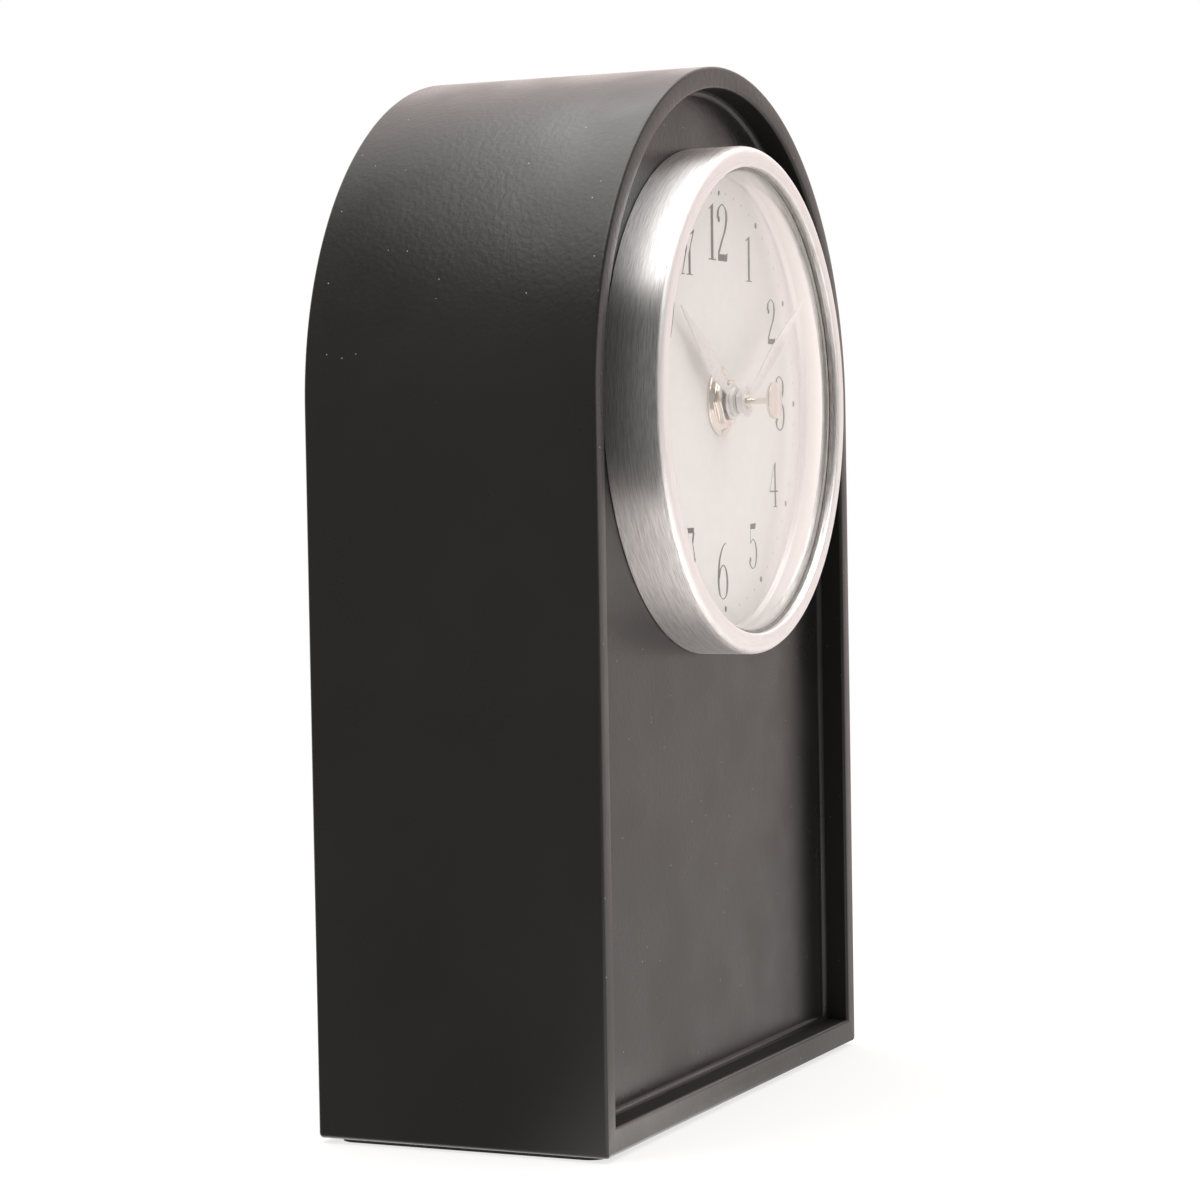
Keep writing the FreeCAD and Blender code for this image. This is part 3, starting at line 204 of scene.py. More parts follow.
area_lamp("top_softbox", place=(0.15, -0.05, 1.25), target=(0.0, 0.0, 0.1),
          width=1.1, height=1.1, watts=2.0)
area_lamp("front_softbox", place=(0.10, -1.5, 0.50), target=(0.0, 0.0, 0.15),
          width=1.7, height=1.2, watts=7.6)
area_lamp("back_left_softbox", place=(-1.1, 0.75, 0.45), target=(-0.08, 0.0, 0.12),
          width=0.9, height=0.9, watts=9.5)

FLOOR_RADIUS = 6.0
FLOOR_SIDES = 96
SWEEP_WHITE = (0.86, 0.85, 0.84, 1)
SWEEP_TINT = (1.0, 0.935, 0.905, 1)
# The camera sees the sweep fade to plain white between these distances from the clock.
FADE_OUT = (0.10, 0.75)
FADE_START = 0.72
# The clock mirrors the sweep as a table top: from left to right it dims, less so behind
# the dial, and it ends some way off and at the left.
TABLE_GLOW = 1.0
TABLE_BACK_GLOW = 1.35
TABLE_LEFT_GLOW = 2.1
TABLE_DIMS = (-0.06, 0.05)
TABLE_BACK_DIMS = (-0.03, 0.14)
TABLE_BACK_STARTS = (-0.01, 0.015)
TABLE_LEFT_END = (-0.26, -0.14)
TABLE_CASE_SIDE = (-0.079, -0.077)
TABLE_CASE_FRONT = (-0.06, 0.0)
TABLE_END = (0.45, 0.75)

floor_mesh = bmesh.new()
bmesh.ops.create_circle(floor_mesh, cap_ends=True, segments=FLOOR_SIDES, radius=FLOOR_RADIUS)
floor_data = bpy.data.meshes.new("floor")
floor_mesh.to_mesh(floor_data)
floor_mesh.free()
floor = bpy.data.objects.new("floor", floor_data)
bpy.context.scene.collection.objects.link(floor)
sweep = bpy.data.materials.new("white_sweep")
sweep.use_nodes = True
tree = sweep.node_tree
tree.nodes.clear()
path = add(tree, "ShaderNodeLightPath")
here = add(tree, "ShaderNodeTexCoord").outputs["Object"]
side, depth, _ = add(tree, "ShaderNodeSeparateXYZ", {0: here}).outputs
reach = length_of(tree, here)
matt = add(tree, "ShaderNodeBsdfDiffuse", {"Color": SWEEP_WHITE}).outputs[0]
glow = add(tree, "ShaderNodeEmission", {"Color": (*WHITE, 1), "Strength": 1.0}).outputs[0]
share = ramp(tree, reach, *FADE_OUT, FADE_START, 1.0)
veil = sums(tree, "MULTIPLY", share, path.outputs["Is Camera Ray"])
top = mixed_shader(tree, veil, matt, glow)
shine_front = ramp(tree, side, *TABLE_DIMS, TABLE_LEFT_GLOW, TABLE_GLOW)
shine_back = ramp(tree, side, *TABLE_BACK_DIMS, TABLE_LEFT_GLOW, TABLE_BACK_GLOW)
shine = mixed_value(tree, ramp(tree, depth, *TABLE_BACK_STARTS), shine_front, shine_back)
white_top = add(tree, "ShaderNodeEmission", {"Color": SWEEP_TINT, "Strength": shine}).outputs[0]
mirrored = sums(tree, "MAXIMUM", path.outputs["Is Glossy Ray"], path.outputs["Is Transmission Ray"])
mirrored = sums(tree, "SUBTRACT", mirrored, path.outputs["Is Camera Ray"], clamp=True)
top = mixed_shader(tree, mirrored, top, white_top)
right_of_side = ramp(tree, side, *TABLE_CASE_SIDE)
ahead_of_front = ramp(tree, depth, *TABLE_CASE_FRONT, 1.0, 0.0)
table = sums(tree, "MAXIMUM", right_of_side, ahead_of_front)
table = sums(tree, "MULTIPLY", ramp(tree, side, *TABLE_LEFT_END), table)
table = sums(tree, "MULTIPLY", table, ramp(tree, reach, *TABLE_END, 1.0, 0.0))
table = sums(tree, "MAXIMUM", table, path.outputs["Is Camera Ray"])
nothing = add(tree, "ShaderNodeBsdfTransparent").outputs[0]
add(tree, "ShaderNodeOutputMaterial", {0: mixed_shader(tree, table, nothing, top)})
floor_data.materials.append(sweep)


# Case shell: a strip of fibreboard bent round into an arch and closed by a floor,
# sanded, its front edges eased, then sprayed satin black inside and out.

CASE_HALF = 78.0 * MM
CASE_WALL = 5.0 * MM
CASE_SPRING = 162.0 * MM
CASE_FRONT = -35.0 * MM
CASE_BACK = 35.0 * MM
FELT_TOP = 1.0 * MM
FLOOR_TOP = 7.0 * MM
FOOT_ROUND = 1.3 * MM
RIM_ROUND = 1.2 * MM
INNER_ROUND = 1.0 * MM
BACK_ROUND = 0.8 * MM
ARCH_STEPS = 128
MERGE_DISTANCE = 1e-7
TOLERANCE = 1e-6
SHARP_ANGLE = 0.5


def finish_mesh(name, bm, material, body="clock_case", stands_for=(), crease=32):
    """Makes a bmesh into a piece of the clock and lets it ride on its body."""
    bmesh.ops.remove_doubles(bm, verts=bm.verts, dist=MERGE_DISTANCE)
    bmesh.ops.recalc_face_normals(bm, faces=bm.faces)
    mesh = bpy.data.meshes.new(name)
    bm.to_mesh(mesh)
    bm.free()
    mesh.shade_smooth()
    mesh.set_sharp_from_angle(angle=math.radians(crease))
    mesh.materials.append(material)
    piece = bpy.data.objects.new(name, mesh)
    bpy.context.scene.collection.objects.link(piece)
    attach(piece, body)
    if stands_for:
        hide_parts(*stands_for)


def arch_wire(bm, half, foot, y):
    """Closed wire: up one wall, round the arch, down the other wall and back."""
    start = bm.verts.new((-half, y, foot))
    left_top = bm.verts.new((-half, y, CASE_SPRING))
    edges = [bm.edges.new((start, left_top))]
    made = bmesh.ops.spin(bm, geom=[left_top], cent=(0, y, CASE_SPRING), axis=(0, 1, 0),
                          angle=math.pi, steps=ARCH_STEPS)
    right_top = [item for item in made["geom_last"] if isinstance(item, bmesh.types.BMVert)][0]
    right_foot = bm.verts.new((half, y, foot))
    edges.append(bm.edges.new((right_top, right_foot)))
    edges.append(bm.edges.new((right_foot, start)))
    curve = set()
    vert = left_top
    while vert is not right_top:
        ahead = [e for e in vert.link_edges if e not in curve and e not in edges]
        curve.add(ahead[0])
        vert = ahead[0].other_vert(vert)
    return edges + list(curve)


def rounded_edges(bm, edges, width, segments):
    bmesh.ops.bevel(bm, geom=edges, offset=width, offset_type="OFFSET", segments=segments,
                    profile=0.5, affect="EDGES", clamp_overlap=True, material=-1)


def drawn(name, base, roughness, metallic=0.0, **sockets):
    """A material with one Principled shader; base and roughness are its mean values."""
    material = bpy.data.materials.new(name)
    material.use_nodes = True
    tree = material.node_tree
    shader = tree.nodes["Principled BSDF"]
    shader.inputs["Base Color"].default_value = (*base, 1)
    shader.inputs["Roughness"].default_value = roughness
    shader.inputs["Metallic"].default_value = metallic
    for key, value in sockets.items():
        shader.inputs[key.replace("_", " ")].default_value = value
    return material, tree, shader


def object_place(tree, scale=(1, 1, 1)):
    here = add(tree, "ShaderNodeTexCoord").outputs["Object"]
    return add(tree, "ShaderNodeMapping", {"Vector": here, "Scale": scale}).outputs[0]


def grain(tree, place, scale, detail=3.0, roughness=0.5):
    """A noise; most of it lies between 0.3 and 0.7."""
    inputs = {"Vector": place, "Scale": scale, "Detail": detail, "Roughness": roughness}
    return add(tree, "ShaderNodeTexNoise", inputs).outputs["Fac"]


def coloured(tree, shader, pattern, first, second):
    """Gives the shader a colour from the first to the second, as the pattern goes from 0 to 1."""
    tree.links.new(mixed_colour(tree, pattern, first, second), shader.inputs["Base Color"])


def bumped(tree, shader, height, distance, strength=1.0):
    bump = add(tree, "ShaderNodeBump", {"Height": height, "Distance": distance, "Strength": strength})
    tree.links.new(bump.outputs[0], shader.inputs["Normal"])


PAINT_DARK = (0.0072, 0.0069, 0.0068)
PAINT_LIGHT = (0.0095, 0.0090, 0.0088)
DUST = (0.32, 0.31, 0.30)
DUST_CELLS = 700.0
DUST_PICK = 0.965
DUST_EDGE = (0.07, 0.14)
GLOSS = 0.45
# The walls of the recess are darkened with painted shade, and made duller.
RECESS_REACH = CASE_HALF - CASE_WALL + 0.3 * MM
RECESS_STARTS = (CASE_FRONT + 0.3 * MM, CASE_FRONT + 0.9 * MM)
RECESS_BACK = -29.35 * MM
RECESS_PAINTED_SHADE = 0.6
RECESS_DULL = 0.22
RECESS_GLOSS = 0.16
PEEL_DEPTH = 0.066 * MM
PEEL_HEIGHTS = (0.12, 0.20)

case_paint, tree, shader = drawn("satin_black_paint", PAINT_DARK, 0.30, Specular_IOR_Level=GLOSS)
place = object_place(tree)
side, depth, height = add(tree, "ShaderNodeSeparateXYZ", {0: place}).outputs
tone = mixed_colour(tree, ramp(tree, grain(tree, place, 22.0, 4.0), 0.35, 0.7), PAINT_DARK, PAINT_LIGHT)
# Dust: pale specks at the middle of a few small cells.
cells = add(tree, "ShaderNodeTexVoronoi", {"Vector": place, "Scale": DUST_CELLS, "Randomness": 1.0})
chance = add(tree, "ShaderNodeSeparateColor", {0: cells.outputs["Color"]}).outputs[0]
speck = sums(tree, "MULTIPLY", sums(tree, "GREATER_THAN", chance, DUST_PICK),
             ramp(tree, cells.outputs["Distance"], *DUST_EDGE, 1.0, 0.0))
# Recess: the painted shade mask, 1 on the walls in front of the panel, by their distance from the arch's
# axis.
rise = sums(tree, "MAXIMUM", sums(tree, "SUBTRACT", height, CASE_SPRING), 0.0)
reach = length_of(tree, add(tree, "ShaderNodeCombineXYZ", {0: side, 1: rise, 2: 0.0}).outputs[0])
recess_shade_mask = sums(tree, "MULTIPLY", sums(tree, "LESS_THAN", reach, RECESS_REACH),
              ramp(tree, depth, *RECESS_STARTS))
recess_shade_mask = sums(tree, "MULTIPLY", recess_shade_mask, sums(tree, "LESS_THAN", depth, RECESS_BACK))
# Painted shade: the colour of the recess walls is darkened towards black.
tone = mixed_colour(tree, sums(tree, "MULTIPLY", recess_shade_mask, RECESS_PAINTED_SHADE), tone, (0.0, 0.0, 0.0))
coloured(tree, shader, speck, tone, DUST)
satin = ramp(tree, grain(tree, place, 60.0, 5.0), 0.3, 0.7, 0.27, 0.35)
satin = sums(tree, "ADD", satin, sums(tree, "MULTIPLY", recess_shade_mask, RECESS_DULL))
tree.links.new(satin, shader.inputs["Roughness"])
tree.links.new(ramp(tree, recess_shade_mask, 0.0, 1.0, GLOSS, RECESS_GLOSS), shader.inputs["Specular IOR Level"])
# Peel: fine and broad waves of the sprayed coat, fuller on the arch than low down.
peel = sums(tree, "ADD", grain(tree, place, 760.0, 2.0),
            sums(tree, "MULTIPLY", grain(tree, place, 70.0), 0.8))
bumped(tree, shader, peel, PEEL_DEPTH, ramp(tree, height, *PEEL_HEIGHTS, 0.45, 1.0))

bm = bmesh.new()
outer = arch_wire(bm, CASE_HALF, FELT_TOP, CASE_FRONT)
inner = arch_wire(bm, CASE_HALF - CASE_WALL, FLOOR_TOP, CASE_FRONT)
bmesh.ops.bridge_loops(bm, edges=outer + inner)
grown = bmesh.ops.extrude_face_region(bm, geom=list(bm.faces))["geom"]
far_verts = [item for item in grown if isinstance(item, bmesh.types.BMVert)]
bmesh.ops.translate(bm, verts=far_verts, vec=(0, CASE_BACK - CASE_FRONT, 0))


def foot_corner(edge):
    """True for the two bottom edges that run from front to back."""
    first, second = edge.verts
    both_low = max(first.co.z, second.co.z) < FELT_TOP + TOLERANCE
    return both_low and abs(first.co.y - second.co.y) > (CASE_BACK - CASE_FRONT) / 2


def sharp_in_plane(bm, y):
    """Sharp edges in the plane at y."""
    return [e for e in bm.edges if e.is_manifold and e.calc_face_angle(0) > SHARP_ANGLE
            and all(abs(v.co.y - y) < TOLERANCE for v in e.verts)]


def on_outline(edge):
    """True for an edge of the shell's outer outline."""
    for vert in edge.verts:
        reach = math.hypot(vert.co.x, max(vert.co.z - CASE_SPRING, 0))
        if reach < CASE_HALF - TOLERANCE and vert.co.z > FELT_TOP + TOLERANCE:
            return False
    return True


rounded_edges(bm, [e for e in bm.edges if foot_corner(e)], FOOT_ROUND, 4)
rounded_edges(bm, [e for e in sharp_in_plane(bm, CASE_FRONT) if on_outline(e)], RIM_ROUND, 5)
rounded_edges(bm, sharp_in_plane(bm, CASE_FRONT), INNER_ROUND, 3)
rounded_edges(bm, sharp_in_plane(bm, CASE_BACK), BACK_ROUND, 3)
finish_mesh("case_shell_painted", bm, case_paint, stands_for=["case_shell"])


# Front panel: a flat board let into the arch 7 mm behind the rim and sprayed with
# it; filler and paint leave a hollow bead where it meets the walls.

PANEL_FRONT = -28.0 * MM
BEAD = 1.3 * MM
BEAD_STEPS = 6
bm = bmesh.new()
wires = []
for index in range(BEAD_STEPS + 1):
    turn = math.pi / 2 * index / BEAD_STEPS
    inset = BEAD - BEAD * math.cos(turn)
    wires.append(arch_wire(bm, CASE_HALF - CASE_WALL - inset, FLOOR_TOP + inset,
                           PANEL_FRONT - BEAD + BEAD * math.sin(turn)))
wires.append(arch_wire(bm, CASE_HALF - CASE_WALL, FLOOR_TOP, PANEL_FRONT))
for first, second in zip(wires, wires[1:] + wires[:1]):
    bmesh.ops.bridge_loops(bm, edges=first + second)
finish_mesh("panel_paint_bead", bm, case_paint, crease=50)


def dressed(material, *names):
    """Gives CAD nodes their real finish."""
    for name in names:
        mesh = nodes[name].data
        mesh.materials.clear()
        mesh.materials.append(material)


dressed(case_paint, "front_panel")


# Blocks: softwood blocks glued inside the sides and under the crown, sawn square; the
# back is screwed to them.


def added(tree, first, first_share, second, second_share):
    """Two patterns, each times its share, added up."""
    return sums(tree, "ADD", sums(tree, "MULTIPLY", first, first_share),
                sums(tree, "MULTIPLY", second, second_share))


PINE_PALE = (0.60, 0.43, 0.24)
PINE_DARK = (0.42, 0.26, 0.12)
block_wood, tree, shader = drawn("sawn_softwood", PINE_PALE, 0.75)
rings = add(tree, "ShaderNodeTexWave", {
    "Vector": object_place(tree, (14.0, 90.0, 90.0)), "Scale": 0.9, "Distortion": 5.0,
    "Detail": 3.0, "Detail Scale": 1.2}, wave_type="RINGS", rings_direction="X").outputs["Fac"]
fibre = grain(tree, object_place(tree, (60.0, 1500.0, 1500.0)), 1.0)
coloured(tree, shader, added(tree, rings, 0.7, fibre, 0.3), PINE_PALE, PINE_DARK)
bumped(tree, shader, fibre, 0.06 * MM)
dressed(block_wood, "side_blocks", "top_block")


# Back and dial backer: pressed fibreboard, sawn and left raw, with its fibres showing;
# the back has a round opening to reach the movement.

BOARD_PALE = (0.40, 0.275, 0.165)
BOARD_DARK = (0.27, 0.175, 0.095)
raw_board, tree, shader = drawn("raw_fibreboard", BOARD_PALE, 0.8)
mottle = grain(tree, object_place(tree), 55.0, 4.0)
fibres = grain(tree, object_place(tree, (700.0, 700.0, 2600.0)), 1.0, 4.0, 0.6)
felted = ramp(tree, added(tree, mottle, 0.2, fibres, 0.8), 0.35, 0.68)
coloured(tree, shader, felted, BOARD_DARK, BOARD_PALE)
bumped(tree, shader, fibres, 0.05 * MM)
dressed(raw_board, "back_panel", "dial_backer")


# Screws: steel, pan headed with a cross recess and zinc plated; wood screws hold the
# back on its blocks, and machine screws hold the bezel from behind the panel.


def roughened(tree, shader, noise, low, high):
    """Lets a noise change the roughness between two values."""
    tree.links.new(ramp(tree, noise, 0.3, 0.7, low, high), shader.inputs["Roughness"])


screw_steel, tree, shader = drawn("zinc_plate", (0.60, 0.61, 0.62), 0.28, 1.0)
place = object_place(tree)
coloured(tree, shader, grain(tree, place, 500.0), (0.50, 0.51, 0.53), (0.70, 0.69, 0.66))
roughened(tree, shader, grain(tree, place, 1600.0, 2.0), 0.22, 0.40)
dressed(screw_steel, "back_panel_screws", "bezel_screws")


# Base felt: one sheet of short-pile felt cut a little smaller than the case and
# glued under it.

FELT_DARK = (0.012, 0.012, 0.013)
FELT_PALE = (0.045, 0.044, 0.044)
base_felt, tree, shader = drawn("black_felt", (0.022, 0.022, 0.023), 0.95, Sheen_Weight=0.25)
nap = grain(tree, object_place(tree), 2600.0, 4.0, 0.7)
coloured(tree, shader, ramp(tree, nap, 0.35, 0.7), FELT_DARK, FELT_PALE)
bumped(tree, shader, nap, 0.12 * MM)
dressed(base_felt, "base_felt")


# Bezel: a turned aluminium ring, brushed round and round, with a rounded shoulder and
# a lip that holds the lens; screws from behind the panel draw it down.

DIAL_Z = 163.0 * MM
TURN_STEPS = 192
ROUND_STEPS = 6


def lathe(corners, closed=True, steps=TURN_STEPS):
    """Spins a half section about the dial's axis; corners are (radius, y, rounding) in mm."""
    bm = bmesh.new()
    verts = [bm.verts.new((radius * MM, y * MM, 0)) for radius, y, _ in corners]
    for first, second in zip(verts, verts[1:] + (verts[:1] if closed else [])):
        bm.edges.new((first, second))
    for vert, (_, _, rounding) in zip(verts, corners):
        if rounding:
            bmesh.ops.bevel(bm, geom=[vert], offset=rounding * MM, offset_type="OFFSET",
                            segments=ROUND_STEPS, profile=0.5, affect="VERTICES",
                            clamp_overlap=True, material=-1)
    section = list(bm.verts) + list(bm.edges)
    bmesh.ops.spin(bm, geom=section, cent=(0, 0, 0), axis=(0, 1, 0), angle=2 * math.pi,
                   steps=steps, use_merge=True)
    bmesh.ops.remove_doubles(bm, verts=bm.verts, dist=MERGE_DISTANCE)
    bmesh.ops.translate(bm, verts=bm.verts, vec=(0, 0, DIAL_Z))
    return bm


def around(tree):
    """Radius and turn of the shaded point about the dial's axis, and its depth."""
    here = add(tree, "ShaderNodeTexCoord").outputs["Object"]
    across, depth, height = add(tree, "ShaderNodeSeparateXYZ", {0: here}).outputs
    up = sums(tree, "SUBTRACT", height, DIAL_Z)
    flat = add(tree, "ShaderNodeCombineXYZ", {0: across, 1: up, 2: 0.0}).outputs[0]
    return length_of(tree, flat), sums(tree, "ARCTAN2", up, across), depth


# Places and radii in mm; y is negative towards the front.
BEZEL_OUTER = 58.6
BEZEL_BORE = 54.8
BEZEL_BACK = -28.0
LIP_BORE = 53.8
LIP_BACK = -40.2
LIP_FRONT = -41.8
LIP_ROUND = 0.6
SHOULDER = 2.0
BACK_EASE = 0.3
BRUSHED_RADIUS = 58.3
BRUSHED_DARK = (0.64, 0.626, 0.62)
BRUSHED_PALE = (0.96, 0.945, 0.94)
LIP_STARTS = (-41.6 * MM, -40.4 * MM)
SHOULDER_STARTS = (-40.9 * MM, -39.3 * MM)

bezel_metal, tree, shader = drawn("brushed_aluminium", (0.80, 0.79, 0.785), 0.45, 1.0,
                                  Anisotropic=1.0, Anisotropic_Rotation=0.25)
radius, turn, depth = around(tree)
section = sums(tree, "ADD", radius, depth)
sine = sums(tree, "SINE", turn, 0.0)
cosine = sums(tree, "COSINE", turn, 0.0)


def streaks(length, width):
    """Coordinates for a noise drawn out along the turning marks, its cells in mm."""
    run = BRUSHED_RADIUS / length
    return add(tree, "ShaderNodeCombineXYZ", {
        0: sums(tree, "MULTIPLY", cosine, run), 1: sums(tree, "MULTIPLY", sine, run),
        2: sums(tree, "MULTIPLY", section, 1.0 / MM / width)}).outputs[0]


lines = grain(tree, streaks(4.5, 0.13), 1.0, 2.0, 0.6)
bands = grain(tree, streaks(30.0, 0.8), 1.0, 2.0)
lip = ramp(tree, depth, *LIP_STARTS, 1.0, 0.0)
marks = added(tree, lines, 0.75, bands, 0.25)
# The streaks fade on the lip, and its colour is paler there, a painted highlight.
marks = mixed_value(tree, sums(tree, "MULTIPLY", lip, 0.8), marks, 0.55)
coloured(tree, shader, ramp(tree, marks, 0.41, 0.59), BRUSHED_DARK, BRUSHED_PALE)
softer = sums(tree, "ADD", ramp(tree, marks, 0.36, 0.64, 0.37, 0.31),
              ramp(tree, depth, *SHOULDER_STARTS, 0.22, 0.0))
tree.links.new(softer, shader.inputs["Roughness"])
tree.links.new(ramp(tree, lip, 0.0, 1.0, 1.0, 0.0), shader.inputs["Anisotropic"])
tangent = add(tree, "ShaderNodeTangent", direction_type="RADIAL", axis="Y")
tree.links.new(tangent.outputs[0], shader.inputs["Tangent"])

bezel = lathe([
    (BEZEL_BORE, BEZEL_BACK, 0), (BEZEL_BORE, LIP_BACK, 0),
    (LIP_BORE, LIP_BACK, 0), (LIP_BORE, LIP_FRONT, LIP_ROUND),
    (BEZEL_OUTER, LIP_FRONT, SHOULDER), (BEZEL_OUTER, BEZEL_BACK, BACK_EASE),
])
finish_mesh("bezel_brushed", bezel, bezel_metal, stands_for=["bezel_ring"])


# Lens: pressed glass with a flat rim and a shallow dome, bedded on a rubber ring
# behind the bezel's lip.

LENS_RIM = 54.6
LENS_FRONT = -39.7
LENS_BACK = -38.1
DOME_EDGE = 51.8
DOME_RISE = 7.2
DOME_STEPS = 24
GLASS_INDEX = 1.5
GLASS_TINT = (0.96, 0.97, 0.965, 1)


def dome_section(plane):
    """Corners from the axis out to the edge of a dome that rises from a plane."""
    curve = (DOME_EDGE ** 2 + DOME_RISE ** 2) / (2 * DOME_RISE)
    places = []
    for index in range(DOME_STEPS + 1):
        radius = DOME_EDGE * index / DOME_STEPS
        places.append((radius, plane - DOME_RISE + curve - math.sqrt(curve ** 2 - radius ** 2), 0))
    return places


lens_glass, tree, shader = drawn("lens_glass", WHITE, 0.0, Transmission_Weight=1.0, IOR=GLASS_INDEX)
path = add(tree, "ShaderNodeLightPath")
passes = sums(tree, "MAXIMUM", path.outputs["Is Shadow Ray"], path.outputs["Is Diffuse Ray"])
clear = add(tree, "ShaderNodeBsdfTransparent", {"Color": GLASS_TINT}).outputs[0]
glass = mixed_shader(tree, passes, shader.outputs[0], clear)
tree.links.new(glass, tree.nodes["Material Output"].inputs["Surface"])

rim = [(LENS_RIM, LENS_FRONT, 0), (LENS_RIM, LENS_BACK, 0)]
lens = lathe(dome_section(LENS_FRONT) + rim + dome_section(LENS_BACK)[::-1], closed=False)
finish_mesh("lens_domed", lens, lens_glass, stands_for=["lens"], crease=40)

gasket_rubber, tree, shader = drawn("grey_rubber", (0.27, 0.26, 0.245), 0.6)
place = object_place(tree)
bloom = ramp(tree, grain(tree, place, 300.0), 0.3, 0.7)
coloured(tree, shader, bloom, (0.23, 0.22, 0.205), (0.32, 0.31, 0.29))
bumped(tree, shader, grain(tree, place, 1400.0, 2.0), 0.01 * MM)
dressed(gasket_rubber, "lens_gasket")


# Inner ring: a turned ring that stands between dial and lens, its bore pale and satin,
# with a step at the dial's edge.

DIAL_FRONT = -31.4
RING_OUTER = 54.5
RING_BORE = 53.4
RING_STEP = 52.6
STEP_FRONT = -32.2
BORE_BACK = -33.0
RING_EASE = 0.15
MARKS_PER_METRE = 5200.0

ring_metal, tree, shader = drawn("satin_ring", (0.88, 0.865, 0.85), 0.35, 1.0)
radius, _, depth = around(tree)
across_marks = sums(tree, "MULTIPLY", sums(tree, "ADD", radius, depth), MARKS_PER_METRE)
marks = add(tree, "ShaderNodeCombineXYZ", {0: across_marks, 1: 0.0, 2: 0.0}).outputs[0]
turned = grain(tree, marks, 1.0, 2.0)
coloured(tree, shader, ramp(tree, turned, 0.3, 0.7), (0.84, 0.825, 0.81), (0.91, 0.895, 0.88))
roughened(tree, shader, turned, 0.46, 0.56)
ring = lathe([
    (RING_STEP, DIAL_FRONT, 0), (RING_STEP, STEP_FRONT, RING_EASE),
    (RING_BORE, BORE_BACK, RING_EASE), (RING_BORE, LENS_BACK, 0),
    (RING_OUTER, LENS_BACK, 0), (RING_OUTER, DIAL_FRONT, 0),
])
finish_mesh("inner_ring_turned", ring, ring_metal, stands_for=["inner_ring"])


# Dial: a disc of sheet metal, sprayed warm white and screen printed in dark grey
# with numerals 1 to 12, a dot for each hour and a fine dot for each minute.

DIAL_EDGE = 54.4
DIAL_BORE = 4.1
DIAL_BACK = -31.0
DIAL_EASE = 0.05
DIAL_STEPS = 128
DIAL_WARM = (0.765, 0.735, 0.718)
DIAL_PALE = (0.785, 0.755, 0.738)
dial_paint, tree, shader = drawn("dial_white", DIAL_WARM, 0.55)
place = object_place(tree)
fleck = ramp(tree, grain(tree, place, 400.0, 4.0), 0.3, 0.7)
coloured(tree, shader, fleck, DIAL_WARM, DIAL_PALE)
bumped(tree, shader, grain(tree, place, 1500.0, 2.0), 0.01 * MM)
dial = lathe([
    (DIAL_BORE, DIAL_FRONT, DIAL_EASE), (DIAL_EDGE, DIAL_FRONT, DIAL_EASE),
    (DIAL_EDGE, DIAL_BACK, 0), (DIAL_BORE, DIAL_BACK, 0),
], steps=DIAL_STEPS)
finish_mesh("dial_painted", dial, dial_paint, stands_for=["dial_plate"])

# How far the print lies in front of the paint, and each stroke of the last, in mm.
INK_LIFT = 0.012
STROKE_LIFT = 0.0006
# Widths and lengths of strokes are shares of a numeral's height.
STEM = 0.12
ROUND_STROKE = 0.085
HAIR = 0.022
CURVE_PARTS = 8


def eased(points, closed):
    """Points along a smooth line through the given ones."""
    count = len(points)
    line = []
    for index in range(count if closed else count - 1):
        if closed:
            before, start, end, after = (points[(index + step) % count] for step in (-1, 0, 1, 2))
        else:
            before = points[max(index - 1, 0)]
            start = points[index]
            end = points[index + 1]
            after = points[min(index + 2, count - 1)]
        for part in range(CURVE_PARTS):
            t = part / CURVE_PARTS
            line.append(tuple(0.5 * (2 * b + (c - a) * t + (2 * a - 5 * b + 4 * c - d) * t * t
                                     + (3 * b - a - 3 * c + d) * t ** 3)
                              for a, b, c, d in zip(before, start, end, after)))
    if not closed:
        line.append(tuple(points[-1]))
    return line


def oval(x, z, wide, tall, parts=12):
    """Points round an oval with the given middle and half sizes."""
    turns = [math.tau * part / parts for part in range(parts)]
    return [(x + wide * math.cos(turn), z + tall * math.sin(turn)) for turn in turns]


class Pen:
    """Draws strokes of one numeral on the dial; broad going up, fine going across."""

    def __init__(self, bm, x, z, size):
        self.bm, self.x, self.z, self.size = bm, x, z, size
        self.strokes = 0

    def vert(self, x, z):
        depth = DIAL_FRONT - INK_LIFT - STROKE_LIFT * self.strokes
        return self.bm.verts.new(((self.x + x * self.size) * MM, depth * MM,
                                  DIAL_Z + (self.z + z * self.size) * MM))

    def stroke(self, points, broad=ROUND_STROKE, closed=False, fine=HAIR):
        self.strokes += 1
        line = eased(points, closed) if len(points) > 2 else list(points)
        rows = []
        for index, (x, z) in enumerate(line):
            if closed:
                before, after = line[index - 1], line[(index + 1) % len(line)]
            else:
                before, after = line[max(index - 1, 0)], line[min(index + 1, len(line) - 1)]
            dx, dz = after[0] - before[0], after[1] - before[1]
            length = math.hypot(dx, dz) or 1.0
            half = (fine + (broad - fine) * (abs(dz) / length) ** 3) / 2
            rows.append((self.vert(x - dz / length * half, z + dx / length * half),
                         self.vert(x + dz / length * half, z - dx / length * half)))
        if closed:
            rows.append(rows[0])
        for (a, b), (c, d) in zip(rows, rows[1:]):
            self.bm.faces.new((a, b, d, c))

    def shape(self, points):
        self.strokes += 1
        self.bm.faces.new([self.vert(x, z) for x, z in points])

    def ball(self, x, z, radius):
        self.shape(oval(x, z, radius, radius, 16))


# Each figure stands on 0, one unit tall, with the left of its space at x.
def figure_0(pen, x):
    pen.stroke(oval(x + 0.26, 0.5, 0.21, 0.488), closed=True)


